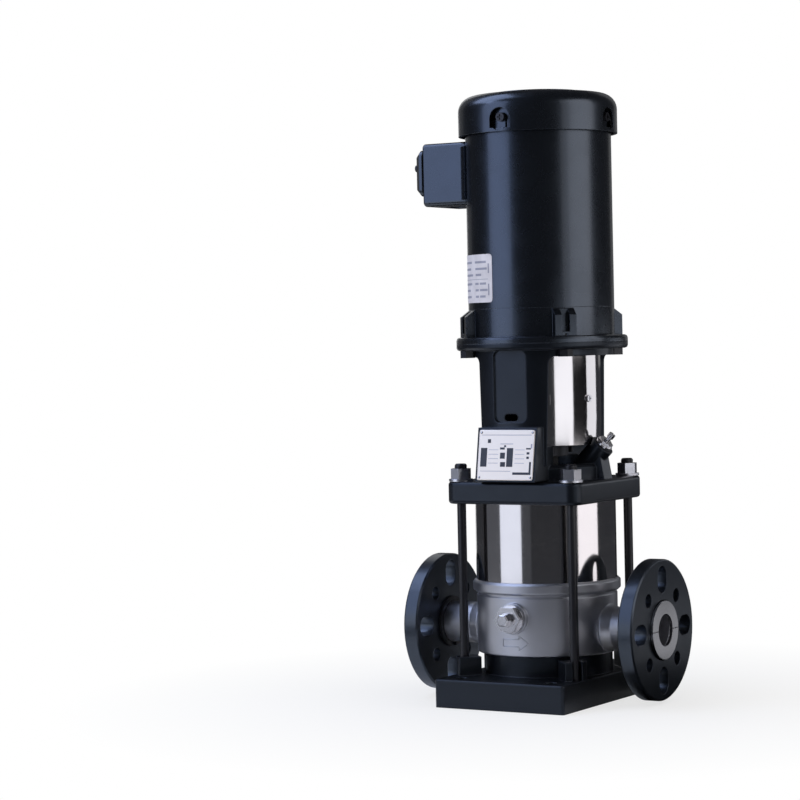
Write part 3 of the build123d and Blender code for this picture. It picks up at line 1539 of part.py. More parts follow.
with BuildPart() as conduit_gasket:
    with BuildSketch(lid_plane(box_reach)):
        Rectangle(lid_width - 4, lid_height - 2)
        Rectangle(box_width - 2 * box_wall, lid_height - 8, mode=Mode.SUBTRACT)
    extrude(amount=box_gasket)
conduit_gasket.part.label = "conduit_gasket"
export_step(conduit_gasket.part, "parts/conduit_gasket.step")

lid_front = box_reach + box_gasket + lid_thickness
lid_screw_places = [(x * lid_screw_pitch / 2, lid_screw_lift) for x in (-1, 1)]
with BuildPart() as conduit_lid:
    with BuildSketch(lid_plane(box_reach + box_gasket)):
        RectangleRounded(lid_width, lid_height, lid_corner)
    extrude(amount=lid_thickness)
    chamfer(conduit_lid.faces().sort_by(Axis.X)[0].edges(), lid_bevel)
    with BuildSketch(lid_plane(box_reach + box_gasket)):
        Rectangle(lid_width - 6 * lid_bevel, lid_height - 4 * lid_bevel)
    extrude(amount=lid_thickness - 3, mode=Mode.SUBTRACT)
conduit_lid.part.label = "conduit_lid"
export_step(conduit_lid.part, "parts/conduit_lid.step")

with BuildPart() as conduit_screws:
    with BuildSketch(lid_plane(lid_front)):
        with Locations(*lid_screw_places):
            Circle(lid_screw_head / 2)
    extrude(amount=lid_screw_head_height)
conduit_screws.part.label = "conduit_screws"
export_step(conduit_screws.part, "parts/conduit_screws.step")

with BuildPart() as terminal_block:
    with Locations((-(box_reach - hollow + terminal_x / 2), 0, z_box)):
        Box(terminal_x, terminal_y, terminal_z)
    with BuildSketch(lid_plane(box_reach - hollow + terminal_x)):
        with GridLocations(terminal_y / 3, terminal_z / 2, 3, 2):
            Circle(2)
    extrude(amount=4)
terminal_block.part.label = "terminal_block"
export_step(terminal_block.part, "parts/terminal_block.step")
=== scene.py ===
# %% [markdown]
# A vertical multistage pump, dressed for its picture. The solids of the pump come
# from its CAD model and stay as they are. This lesson gives every piece the finish
# of the real one, adds the small things that CAD leaves out, such as threads,
# rivets and labels, and lights it all as a product photographer would.

# %% Load the frame
import json
import math

import bmesh
import bpy
from mathutils import Matrix, Vector


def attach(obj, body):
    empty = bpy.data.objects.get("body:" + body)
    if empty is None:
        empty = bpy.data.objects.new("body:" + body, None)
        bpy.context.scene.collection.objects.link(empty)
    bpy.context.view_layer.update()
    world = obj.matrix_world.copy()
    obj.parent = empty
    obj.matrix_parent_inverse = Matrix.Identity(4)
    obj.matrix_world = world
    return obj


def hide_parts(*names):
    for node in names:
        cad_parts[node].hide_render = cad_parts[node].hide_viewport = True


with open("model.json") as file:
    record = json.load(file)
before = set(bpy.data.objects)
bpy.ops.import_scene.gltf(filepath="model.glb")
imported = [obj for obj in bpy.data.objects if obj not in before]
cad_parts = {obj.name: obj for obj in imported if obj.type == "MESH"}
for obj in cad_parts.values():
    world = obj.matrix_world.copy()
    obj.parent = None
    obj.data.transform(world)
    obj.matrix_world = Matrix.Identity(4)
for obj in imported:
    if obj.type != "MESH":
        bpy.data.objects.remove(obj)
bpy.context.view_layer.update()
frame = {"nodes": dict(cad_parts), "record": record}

MM = 0.001
nodes = frame["nodes"]

# %% [markdown]
# Three small helpers save writing the same lines again and again. One puts an
# object in the scene. One adds a node of a kind, sets its inputs by name and links
# what is linked. One starts a node group with named inputs and outputs.


# %% Object and node helpers
def add_object(name, data):
    """An object in the scene."""
    item = bpy.data.objects.new(name, data)
    bpy.context.collection.objects.link(item)
    return item


def add_node(tree, kind, settings=None, **inputs):
    """Add a node, set its properties, and set or link its inputs."""
    node = tree.nodes.new(kind)
    for name, value in (settings or {}).items():
        setattr(node, name, value)
    for name, value in inputs.items():
        name = name.replace("_", " ")
        key = int(name[1:]) if name[0] == "i" and name[1:].isdigit() else name
        socket = node.inputs[key]
        if isinstance(value, bpy.types.NodeSocket):
            tree.links.new(value, socket)
        else:
            socket.default_value = value
    return node


def multiply(tree, first, second):
    """The product of two values, as an output to link."""
    node = add_node(tree, "ShaderNodeMath", {"operation": "MULTIPLY"}, i0=first, i1=second)
    return node.outputs[0]


def new_group(name, kind, inputs, outputs):
    """A node group with named inputs and outputs."""
    tree = bpy.data.node_groups.new(name, kind)
    for label, socket, value in inputs:
        made = tree.interface.new_socket(label, in_out="INPUT", socket_type=socket)
        if value is not None:
            made.default_value = value
    for label, socket in outputs:
        tree.interface.new_socket(label, in_out="OUTPUT", socket_type=socket)
    return tree, tree.nodes.new("NodeGroupInput"), tree.nodes.new("NodeGroupOutput")


print("helpers ready")

# %% [markdown]
# The camera stands where the photographer stood: a little to the right of the
# pump's front, as high as the middle of the pump, with a long lens. A long lens
# keeps upright edges nearly parallel. The turn, tilt and roll are set as three
# plain angles, so each can be changed by itself.

# %% Camera
CAMERA_PLACE = (1.2363, -2.3153, 0.3672)
CAMERA_TURN = math.radians(31.26)
CAMERA_TILT = math.radians(88.63)
CAMERA_ROLL = math.radians(-1.25)
SENSOR_WIDTH = 36.0
LENS_LENGTH = 116.77

camera_data = bpy.data.cameras.new("camera")
camera_data.sensor_width = SENSOR_WIDTH
camera_data.lens = LENS_LENGTH
camera = add_object("camera", camera_data)
camera.matrix_world = (
    Matrix.Translation(CAMERA_PLACE)
    @ Matrix.Rotation(CAMERA_TURN, 4, "Z")
    @ Matrix.Rotation(CAMERA_TILT, 4, "X")
    @ Matrix.Rotation(CAMERA_ROLL, 4, "Z")
)
bpy.context.scene.camera = camera
bpy.context.scene.view_settings.view_transform = "Standard"
print("camera", round(camera.location.length, 3), "m from the base")

# %% [markdown]
# Paint and cast metal are never quite flat. This group makes a fine grain with a
# softer, larger wave under it, and hands out a height for the bump and a mask
# for the colour. The scales are in grains per metre.

# %% Surface grain group
FLOAT = "NodeSocketFloat"
VECTOR = "NodeSocketVector"
grain, grain_in, grain_out = new_group(
    "surface grain", "ShaderNodeTree",
    [("Grains per metre", FLOAT, 900.0), ("Waves per metre", FLOAT, 60.0),
     ("Wave share", FLOAT, 0.4)],
    [("Height", FLOAT), ("Mask", FLOAT)],
)
place = add_node(grain, "ShaderNodeTexCoord").outputs["Object"]
fine = add_node(grain, "ShaderNodeTexNoise", Vector=place, Scale=grain_in.outputs[0], Detail=3.0)
broad = add_node(grain, "ShaderNodeTexNoise", Vector=place, Scale=grain_in.outputs[1], Detail=2.0)
height = add_node(grain, "ShaderNodeMix", {"data_type": "FLOAT"}, Factor=grain_in.outputs[2],
                  i2=fine.outputs["Fac"], i3=broad.outputs["Fac"])
grain.links.new(height.outputs[0], grain_out.inputs["Height"])
grain.links.new(broad.outputs["Fac"], grain_out.inputs["Mask"])
print("group", grain.name)

# %% [markdown]
# A real edge is never sharp: it is rounded, and it catches the light. The Bevel
# node rounds the shading normal without changing the mesh. Where the rounded and
# the true normal differ, there is an edge, and that difference is the mask that
# rubs the paint thin.

# %% Soft edge group
edge, edge_in, edge_out = new_group(
    "soft edge", "ShaderNodeTree",
    [("Radius", FLOAT, 0.0008)],
    [("Normal", VECTOR), ("Edge", FLOAT)],
)
rounded = add_node(edge, "ShaderNodeBevel", {"samples": 6}, Radius=edge_in.outputs["Radius"])
true_normal = add_node(edge, "ShaderNodeNewGeometry").outputs["Normal"]
agree = add_node(edge, "ShaderNodeVectorMath", {"operation": "DOT_PRODUCT"},
                 i0=rounded.outputs[0], i1=true_normal)
apart = add_node(edge, "ShaderNodeMapRange", Value=agree.outputs["Value"],
                 From_Min=0.99, From_Max=0.75, To_Min=0.0, To_Max=1.0)
edge.links.new(rounded.outputs[0], edge_out.inputs["Normal"])
edge.links.new(apart.outputs["Result"], edge_out.inputs["Edge"])
print("group", edge.name)

# %% [markdown]
# Dust settles on what faces up, in patches. The group looks at the height part of
# the normal and breaks it up with noise.

# %% Settled dust group
dust, dust_in, dust_out = new_group(
    "settled dust", "ShaderNodeTree",
    [("Amount", FLOAT, 0.3)],
    [("Mask", FLOAT)],
)
true_normal = add_node(dust, "ShaderNodeNewGeometry").outputs["Normal"]
facing = add_node(dust, "ShaderNodeSeparateXYZ", Vector=true_normal)
upward = add_node(dust, "ShaderNodeMapRange", Value=facing.outputs["Z"],
                  From_Min=0.5, From_Max=1.0)
place = add_node(dust, "ShaderNodeTexCoord").outputs["Object"]
patches = add_node(dust, "ShaderNodeTexNoise", Vector=place, Scale=90.0, Detail=4.0)
spread = add_node(dust, "ShaderNodeMapRange", Value=patches.outputs["Fac"],
                  From_Min=0.35, From_Max=0.7)
both = multiply(dust, upward.outputs[0], spread.outputs[0])
dust.links.new(multiply(dust, both, dust_in.outputs[0]), dust_out.inputs["Mask"])
print("group", dust.name)

# %% [markdown]
# Polishing leaves fine lines along the way the belt ran. Noise that is stretched
# a hundredfold one way makes such lines. The stretch is an input, so the same
# group serves the round sleeve and the flat screw heads.

# %% Polishing line group
lines, lines_in, lines_out = new_group(
    "polishing lines", "ShaderNodeTree",
    [("Stretch", VECTOR, (8.0, 8.0, 1600.0)), ("Smudge size", FLOAT, 18.0)],
    [("Height", FLOAT), ("Smudge", FLOAT)],
)
place = add_node(lines, "ShaderNodeTexCoord").outputs["Object"]
pulled = add_node(lines, "ShaderNodeVectorMath", {"operation": "MULTIPLY"},
                  i0=place, i1=lines_in.outputs[0])
streaks = add_node(lines, "ShaderNodeTexNoise", Vector=pulled.outputs[0], Scale=1.0, Detail=2.0)
smudge = add_node(lines, "ShaderNodeTexNoise", Vector=place, Scale=lines_in.outputs[1],
                  Detail=5.0, Distortion=0.4)
lines.links.new(streaks.outputs["Fac"], lines_out.inputs["Height"])
lines.links.new(smudge.outputs["Fac"], lines_out.inputs["Smudge"])
print("group", lines.name)

# %% [markdown]
# Every finish starts as a Principled shader. What is the same all over, such as
# the metal, the coat or the sheen, is set on its own sockets. What changes over
# the surface comes from the groups above.


# %% Material helpers
def start_finish(name, color, metallic=0.0, roughness=0.4, **constants):
    """A material with a Principled shader, ready for its groups."""
    material = bpy.data.materials.new(name)
    material.use_nodes = True
    shader = material.node_tree.nodes["Principled BSDF"]
    shader.inputs["Base Color"].default_value = (*color, 1.0)
    shader.inputs["Metallic"].default_value = metallic
    shader.inputs["Roughness"].default_value = roughness
    for socket, value in constants.items():
        shader.inputs[socket.replace("_", " ")].default_value = value
    return material, material.node_tree, shader


def use_group(tree, group, **inputs):
    """Place a shader group in a material."""
    return add_node(tree, "ShaderNodeGroup", {"node_tree": group}, **inputs).outputs


def blend_color(tree, mask, low, high):
    """A colour between two, or between a linked colour and a plain one."""
    mix = add_node(tree, "ShaderNodeMix", {"data_type": "RGBA"}, Factor=mask)
    for slot, color in ((6, low), (7, high)):
        if isinstance(color, bpy.types.NodeSocket):
            tree.links.new(color, mix.inputs[slot])
        else:
            mix.inputs[slot].default_value = (*color, 1.0)
    return mix.outputs[2]


def vary_color(tree, shader, mask, low, high):
    """Let the base colour follow a mask from low to high."""
    tree.links.new(blend_color(tree, mask, low, high), shader.inputs["Base Color"])


def vary_roughness(tree, shader, mask, low, high):
    """Let the roughness follow a mask from low to high."""
    follow = add_node(tree, "ShaderNodeMapRange", Value=mask, To_Min=low, To_Max=high)
    tree.links.new(follow.outputs[0], shader.inputs["Roughness"])


def add_bump(tree, shader, height, depth, normal=None):
    """Raise the surface by a height, in metres, over an optional rounded normal."""
    bump = add_node(tree, "ShaderNodeBump", Height=height, Distance=depth, Strength=1.0)
    if normal is not None:
        tree.links.new(normal, bump.inputs["Normal"])
    tree.links.new(bump.outputs[0], shader.inputs["Normal"])


print("material helpers ready")

# %% [markdown]
# The motor wears a smooth black enamel. It is dark enough that its colour hardly
# shows, so the reflections make the look: a clear coat over a fine orange peel.
# At the edges the paint is thin and a little paler, and the top holds some dust.
# The castings wear a rougher coat, and the machined flanges one between the two.

# %% Black paints
PAINT_TINT = (0.70, 0.83, 1.0, 1.0)
RUBBED_PAINT = (0.04, 0.045, 0.055)
DUST_GREY = (0.20, 0.20, 0.21)
MOTOR_BLACK = (0.0025, 0.0028, 0.0036)
IRON_BLACK = (0.0030, 0.0034, 0.0048)


def painted(name, color, roughness, grains, depth, edge_radius, coat, gloss, dusty):
    """A paint over metal, with grain, soft edges and dust."""
    material, tree, shader = start_finish(
        name, color, 0.0, roughness, Coat_Weight=coat, Coat_Roughness=0.08,
        Specular_IOR_Level=gloss, Specular_Tint=PAINT_TINT)
    skin = use_group(tree, grain, Grains_per_metre=grains, Waves_per_metre=45.0, Wave_share=0.35)
    rim = use_group(tree, edge, Radius=edge_radius)
    settled = use_group(tree, dust, Amount=dusty)
    rubbed = multiply(tree, rim["Edge"], skin["Mask"])
    base = blend_color(tree, rubbed, color, RUBBED_PAINT)
    vary_color(tree, shader, settled["Mask"], base, DUST_GREY)
    vary_roughness(tree, shader, skin["Mask"], roughness - 0.06, roughness + 0.08)
    add_bump(tree, shader, skin["Height"], depth, rim["Normal"])
    return material


enamel = painted("black enamel", MOTOR_BLACK, roughness=0.26, grains=700.0, depth=0.00002,
                 edge_radius=0.0009, coat=0.25, gloss=1.0, dusty=0.03)
cast_paint = painted("black coat on iron", IRON_BLACK, roughness=0.36, grains=420.0, depth=0.00007,
                     edge_radius=0.0020, coat=0.12, gloss=0.43, dusty=0.04)
flange_paint = painted("black coat on flanges", IRON_BLACK, roughness=0.32, grains=420.0,
                       depth=0.00006, edge_radius=0.0012, coat=0.14, gloss=1.1, dusty=0.04)
print("paints", enamel.name, cast_paint.name, flange_paint.name)

# %% [markdown]
# The sleeve and the guards are polished stainless steel. A metal has no colour of
# its own but that of its reflections, so it only needs a pale tint, a low
# roughness, the lines that polishing left, and the faint smudges of hands. Turned
# and zinc-plated pieces are rougher, and their lines run no way in particular.

# %% Polished metals
ROUND_LINES = (10.0, 10.0, 1500.0)
EVEN_LINES = (500.0, 500.0, 500.0)


def polished(name, color, roughness, stretch, depth, smudge_roughness):
    """A bright metal with polishing lines and smudges."""
    material, tree, shader = start_finish(name, color, 1.0, roughness)
    marks = use_group(tree, lines, Stretch=stretch, Smudge_size=22.0)
    rim = use_group(tree, edge, Radius=0.0004)
    darker = tuple(value * 0.9 for value in color)
    vary_color(tree, shader, marks["Smudge"], color, darker)
    vary_roughness(tree, shader, marks["Smudge"], roughness, roughness + smudge_roughness)
    add_bump(tree, shader, marks["Height"], depth, rim["Normal"])
    return material


mirror_steel = polished("polished stainless", (0.645, 0.62, 0.61), 0.05,
                        ROUND_LINES, depth=0.000003, smudge_roughness=0.10)
turned_steel = polished("machined stainless", (0.72, 0.71, 0.72), 0.15,
                        EVEN_LINES, depth=0.000010, smudge_roughness=0.12)
zinc = polished("zinc plating", (0.70, 0.70, 0.73), 0.22,
                EVEN_LINES, depth=0.00002, smudge_roughness=0.14)
print("metals", mirror_steel.name, turned_steel.name, zinc.name)

# %% [markdown]
# The base casting is stainless steel blasted with glass beads. Thousands of tiny
# dents scatter the light, so it is grey and soft, with a slightly mottled tone.
# Other metals with a dull, uneven skin are made the same way: drawn sheet, the
# motor's core, its copper, the plate's aluminium, and a dark steel whose darkness
# is painted shade, for the gland that sits down in the stool under the guards.


# %% Blasted and dull metals
def blasted(name, color, shade, roughness, grains, depth):
    """A metal with a fine dented skin and a mottled tone."""
    material, tree, shader = start_finish(name, color, 1.0, roughness)
    skin = use_group(tree, grain, Grains_per_metre=grains, Waves_per_metre=35.0, Wave_share=0.25)
    rim = use_group(tree, edge, Radius=0.0014)
    tone = blend_color(tree, skin["Mask"], shade, color)
    bright = tuple(min(1.0, value * 1.5) for value in color)
    vary_color(tree, shader, multiply(tree, rim["Edge"], 0.35), tone, bright)
    vary_roughness(tree, shader, skin["Height"], roughness - 0.05, roughness + 0.07)
    add_bump(tree, shader, skin["Height"], depth, rim["Normal"])
    return material


blasted_steel = blasted("bead-blasted stainless", (0.62, 0.625, 0.655), (0.54, 0.545, 0.575),
                        roughness=0.40, grains=1400.0, depth=0.00005)
drawn_steel = blasted("drawn stainless sheet", (0.62, 0.62, 0.64), (0.55, 0.55, 0.57),
                      roughness=0.25, grains=500.0, depth=0.00001)
core_steel = blasted("stacked core steel", (0.25, 0.25, 0.26), (0.18, 0.18, 0.19),
                     roughness=0.45, grains=900.0, depth=0.00004)
copper = blasted("varnished copper", (0.62, 0.27, 0.12), (0.48, 0.18, 0.07),
                 roughness=0.35, grains=800.0, depth=0.0001)
plate_metal = blasted("satin aluminium", (0.89, 0.78, 0.63), (0.81, 0.71, 0.575),
                      roughness=0.34, grains=1100.0, depth=0.000006)
# Painted shade: this steel is painted dark for the gland, which sits in shade down in the stool.
painted_shade_steel = blasted("steel painted dark as shade", (0.085, 0.085, 0.09), (0.055, 0.055, 0.06),
                     roughness=0.50, grains=900.0, depth=0.00003)
print("blasted and dull metals ready")

# %% [markdown]
# What is not metal is simpler. One function makes the rubber, the plastic, the
# seal's carbide, the black oxide on screws, and the films and inks of the labels:
# they differ in colour, roughness and grain.


# %% Rubber, plastic, carbide and print
def moulded(name, color, roughness, grains, depth):
    """A plain moulded or pressed material with a grain."""
    material, tree, shader = start_finish(name, color, 0.0, roughness)
    skin = use_group(tree, grain, Grains_per_metre=grains, Waves_per_metre=80.0, Wave_share=0.3)
    paler = tuple(value * 1.6 for value in color)
    vary_color(tree, shader, skin["Mask"], color, paler)
    vary_roughness(tree, shader, skin["Height"], roughness - 0.06, roughness + 0.06)
    add_bump(tree, shader, skin["Height"], depth)
    return material


rubber = moulded("black rubber", (0.018, 0.018, 0.018), 0.7, grains=700.0, depth=0.00003)
carbide = moulded("seal carbide", (0.07, 0.07, 0.08), 0.3, grains=1500.0, depth=0.00001)
plastic = moulded("black plastic", (0.022, 0.022, 0.024), 0.45, grains=900.0, depth=0.00002)
black_oxide = moulded("black oxide", (0.006, 0.006, 0.008), 0.33, grains=1200.0, depth=0.00002)
PRINT = {"grains": 900.0, "depth": 0.000004}
label_film = moulded("label film", (0.49, 0.465, 0.47), 0.42, **PRINT)
label_ink = moulded("grey label ink", (0.22, 0.22, 0.26), 0.5, **PRINT)
plate_ink = moulded("dark plate ink", (0.020, 0.024, 0.034), 0.42, **PRINT)
faint_ink = moulded("faint plate ink", (0.26, 0.25, 0.29), 0.42, **PRINT)
print("moulded materials ready")

# %% [markdown]
# Each CAD node keeps its mesh and gets its finish. The record says which finish a
# node has, by the name of its material slot, so one table is enough. A second
# table holds the four nodes that differ: the loose flanges are smoother than the
# castings, and the gland and its screws, down in the stool under the guards, get a
# steel painted dark as painted shade for the shade that falls there.

# %% Dress the nodes
FINISH_OF_SLOT = {
    "black_paint": enamel, "black_casting": cast_paint, "cast_stainless": blasted_steel,
    "polished_steel": mirror_steel, "machined_steel": turned_steel, "zinc_steel": zinc,
    "black_steel": black_oxide, "drawn_steel": drawn_steel, "bearing_steel": mirror_steel,
    "core_steel": core_steel, "copper": copper, "rubber": rubber, "seal_carbide": carbide,
    "black_plastic": plastic, "plate_metal": plate_metal,
}
FINISH_OF_NODE = {
    "inlet_flange": flange_paint, "outlet_flange": flange_paint,
    # The gland plate and its screws get the steel painted dark as painted shade.
    "gland_plate": painted_shade_steel, "gland_screws": painted_shade_steel,
}
for part in frame["record"]["subparts"]:
    for material_slot in nodes[part["node"]].material_slots:
        material_slot.material = FINISH_OF_SLOT[part["material_slot"]]
for name, finish in FINISH_OF_NODE.items():
    nodes[name].material_slots[0].material = finish
print("dressed", len(nodes), "nodes")

# %% [markdown]
# Pieces that repeat or follow a line come from geometry nodes. The tree works on a
# small source object, its inputs are set by the sockets' identifiers, and the
# result is kept as a plain mesh. Then the source and its modifier go.

# %% Running a geometry tree
GEOMETRY = "NodeSocketGeometry"
MATERIAL = "NodeSocketMaterial"


def evaluated_mesh(name, item):
    """The mesh that an object's modifiers make."""
    depsgraph = bpy.context.evaluated_depsgraph_get()
    mesh = bpy.data.meshes.new_from_object(item.evaluated_get(depsgraph))
    mesh.name = name
    return mesh


def keep_mesh(name, source, tree, **values):
    """Run a geometry tree on a source object and keep the result as a piece."""
    bpy.context.collection.objects.link(source)
    modifier = source.modifiers.new("tree", "NODES")
    modifier.node_group = tree
    for item in tree.interface.items_tree:
        if item.in_out == "INPUT" and item.name.replace(" ", "_") in values:
            modifier[item.identifier] = values[item.name.replace(" ", "_")]
    mesh = evaluated_mesh(name, source)
    source.modifiers.clear()
    bpy.data.objects.remove(source)
    print(name, len(mesh.polygons), "faces")
    return add_object(name, mesh)


def points_object(name, places):
    """An object of loose points, in millimetres, for a tree to work on."""
    mesh = bpy.data.meshes.new(name)
    mesh.from_pydata([tuple(value * MM for value in place) for place in places], [], [])
    return bpy.data.objects.new(name, mesh)


def end_tree(tree, tree_out, shape, material):
    """End a tree as every tree here ends: instances made real, and a material set."""
    real = add_node(tree, "GeometryNodeRealizeInstances", Geometry=shape)
    finish = add_node(tree, "GeometryNodeSetMaterial", Geometry=real.outputs[0], Material=material)
    tree.links.new(finish.outputs[0], tree_out.inputs[0])


print("geometry helpers ready")

# %% [markdown]
# The stay bolts end in a few turns of thread above their nuts. A real thread is a
# ridge wound round a rod. So the tree winds a spiral curve, gives it a round
# section, and sets one on each point, where a bolt ends.

# %% Thread on the stay bolts
thread, thread_in, thread_out = new_group(
    "wound thread", "GeometryNodeTree",
    [("Geometry", GEOMETRY, None), ("Radius", FLOAT, 0.006), ("Pitch", FLOAT, 0.00175),
     ("Turns", FLOAT, 2.0), ("Ridge", FLOAT, 0.0004), ("Material", MATERIAL, None)],
    [("Geometry", GEOMETRY)],
)
rise = multiply(thread, thread_in.outputs["Pitch"], thread_in.outputs["Turns"])
spiral = add_node(thread, "GeometryNodeCurveSpiral", Resolution=32,
                  Rotations=thread_in.outputs["Turns"], Start_Radius=thread_in.outputs["Radius"],
                  End_Radius=thread_in.outputs["Radius"], Height=rise)
section = add_node(thread, "GeometryNodeCurvePrimitiveCircle", Resolution=6,
                   Radius=thread_in.outputs["Ridge"])
ridge = add_node(thread, "GeometryNodeCurveToMesh", Curve=spiral.outputs[0],
                 Profile_Curve=section.outputs[0], Fill_Caps=True)
wound = add_node(thread, "GeometryNodeInstanceOnPoints", Points=thread_in.outputs[0],
                 Instance=ridge.outputs[0])
end_tree(thread, thread_out, wound.outputs[0], thread_in.outputs["Material"])

STAY_REACH = 62.0
THREAD_BOTTOM = 235.6
stay_ends = [(x * STAY_REACH, y * STAY_REACH, THREAD_BOTTOM) for x in (-1, 1) for y in (-1, 1)]
stay_threads = keep_mesh("stay_threads", points_object("stay ends", stay_ends), thread,
                         Radius=0.0059, Pitch=0.00125, Turns=2.0, Ridge=0.00045,
                         Material=black_oxide)
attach(stay_threads, "pump")

# %% [markdown]
# An arrow on the casting shows which way the water flows. It is cast on as a thin
# raised line. The outline is drawn flat, bent round the casting point by point,
# and a tree gives the curve a round section, so half of it stands proud.


# %% Flow arrow
def on_cylinder(radius, azimuth, height):
    """A point on an upright cylinder round the pump's axis. Azimuth 0 is in front, 90 at +X."""
    turn = math.radians(azimuth)
    return (radius * math.sin(turn), -radius * math.cos(turn), height)


CASTING_RADIUS = 71.0
ARROW = [(-13.0, 59.4), (5.0, 59.4), (5.0, 55.8), (15.2, 63.0), (5.0, 70.2), (5.0, 66.6),
         (-13.0, 66.6)]
STEP = 1.5
outline = []
for (x, z), (next_x, next_z) in zip(ARROW, ARROW[1:] + ARROW[:1]):
    steps = max(1, round(math.hypot(next_x - x, next_z - z) / STEP))
    outline += [(x + (next_x - x) * k / steps, z + (next_z - z) * k / steps)
                for k in range(steps)]
curve = bpy.data.curves.new("arrow line", "CURVE")
curve.dimensions = "3D"
spline = curve.splines.new("POLY")
spline.points.add(len(outline) - 1)
for point, (x, z) in zip(spline.points, outline):
    place = on_cylinder(CASTING_RADIUS, math.degrees(math.asin(x / CASTING_RADIUS)), z)
    point.co = (*(value * MM for value in place), 1.0)
spline.use_cyclic_u = True

bead, bead_in, bead_out = new_group(
    "raised line", "GeometryNodeTree",
    [("Geometry", GEOMETRY, None), ("Radius", FLOAT, 0.0006), ("Material", MATERIAL, None)],
    [("Geometry", GEOMETRY)],
)
section = add_node(bead, "GeometryNodeCurvePrimitiveCircle", Resolution=8,
                   Radius=bead_in.outputs["Radius"])
swept = add_node(bead, "GeometryNodeCurveToMesh", Curve=bead_in.outputs[0],
                 Profile_Curve=section.outputs[0])
end_tree(bead, bead_out, swept.outputs[0], bead_in.outputs["Material"])
flow_arrow = keep_mesh("flow_arrow", bpy.data.objects.new("arrow line", curve), bead,
                       Radius=0.0005, Material=blasted_steel)
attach(flow_arrow, "pump")

# %% [markdown]
# A thin plate of printed aluminium hangs on the leaning boss. The print is left
# generic: dark fields, bars and faint rules where such a plate has its columns.
# Each mark is a bar a tenth of a millimetre high, so it is a real shape and also
# shows without its colour.

# %% Plate frame
PLATE_MIDDLE = Vector((0, -79.7, 249.5))
PLATE_LEAN = math.radians(9.5)
PLATE_FACE = 0.8
BAR_SINK = -0.05
BAR_SIDES = ((0, 3, 2, 1), (4, 5, 6, 7), (0, 1, 5, 4), (1, 2, 6, 5), (2, 3, 7, 6), (3, 0, 4, 7))
plate_up = Vector((0, math.sin(PLATE_LEAN), math.cos(PLATE_LEAN)))
plate_out = Vector((0, -math.cos(PLATE_LEAN), math.sin(PLATE_LEAN)))


def on_plate(across, along, proud=0.0):
    """A point on the plate's face, in millimetres from its middle."""
    face = PLATE_MIDDLE + Vector((across, 0, 0)) + plate_up * along
    return tuple(face + plate_out * (PLATE_FACE + proud))


def add_bar(shape, left, right, low, high, proud):
    """Add one flat bar to a shape, on the plate's face."""
    corners = [shape.verts.new(Vector(on_plate(x, y, level)) * MM)
               for level in (BAR_SINK, proud)
               for x, y in ((left, low), (right, low), (right, high), (left, high))]
    for side in BAR_SIDES:
        shape.faces.new([corners[k] for k in side])


def keep_shape(name, shape, material):
    """Make a bmesh a piece that rides on the pump."""
    bmesh.ops.recalc_face_normals(shape, faces=shape.faces)
    mesh = bpy.data.meshes.new(name)
    shape.to_mesh(mesh)
    shape.free()
    mesh.materials.append(material)
    piece = add_object(name, mesh)
    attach(piece, "pump")
    print(name, len(mesh.polygons), "faces")


print("plate frame ready")

# %% Marks on the plate
DARK_RISE = 0.10
FAINT_RISE = 0.08
DARK_MARKS = [
    (-28.3, -21.2, -11.6, 7.1), (1.0, 8.0, -11.6, 7.0), (-6.9, -1.6, 5.5, 7.6),
    (-6.4, -1.0, -3.6, 2.4), (-5.8, -0.3, -11.6, -6.9), (-21.0, -17.6, 12.0, 15.8),
    (-2.4, -0.2, 7.9, 9.8), (22.4, 27.6, 5.6, 7.1), (23.2, 26.3, 0.7, 3.0),
    (23.2, 26.0, -3.7, -1.4), (26.6, 28.7, -19.4, -6.6), (8.5, 26.5, -19.4, -17.0),
]
RULE = 0.45
FAINT_MARKS = [(left, right, level, level + RULE) for level in (5.0, 0.6, -3.8, -8.2)
               for left, right in ((-19.6, -8.6), (10.2, 20.8))]
FAINT_MARKS += [(-6.7, 7.5, 10.7, 11.4), (27.4, 29.0, 6.8, 11.1), (-28.0, 6.0, -16.2, -15.7),
                (-28.0, 28.0, 19.6, 20.2)]
for name, marks, rise, ink in (("plate_fields", DARK_MARKS, DARK_RISE, plate_ink),
                               ("plate_rules", FAINT_MARKS, FAINT_RISE, faint_ink)):
    shape = bmesh.new()
    for mark in marks:
        add_bar(shape, *mark, rise)
    keep_shape(name, shape, ink)

# %% [markdown]
# Four small rivets hold the plate. Their heads are one shape that a tree sets on
# four points: a ball pressed flat and turned to face the way the plate faces.

# %% Plate rivets
heads, heads_in, heads_out = new_group(
    "rivet heads", "GeometryNodeTree",
    [("Geometry", GEOMETRY, None), ("Radius", FLOAT, 0.0013), ("Flatness", FLOAT, 0.5),
     ("Turn", VECTOR, (0, 0, 0)), ("Material", MATERIAL, None)],
    [("Geometry", GEOMETRY)],
)
ball = add_node(heads, "GeometryNodeMeshUVSphere", Segments=16, Rings=8,
                Radius=heads_in.outputs["Radius"])
flat = add_node(heads, "ShaderNodeCombineXYZ", X=1.0, Y=1.0, Z=heads_in.outputs["Flatness"])
pressed = add_node(heads, "GeometryNodeTransform", Geometry=ball.outputs[0],
                   Scale=flat.outputs[0])
placed = add_node(heads, "GeometryNodeInstanceOnPoints", Points=heads_in.outputs[0],
                  Instance=pressed.outputs[0], Rotation=heads_in.outputs["Turn"])
end_tree(heads, heads_out, placed.outputs[0], heads_in.outputs["Material"])

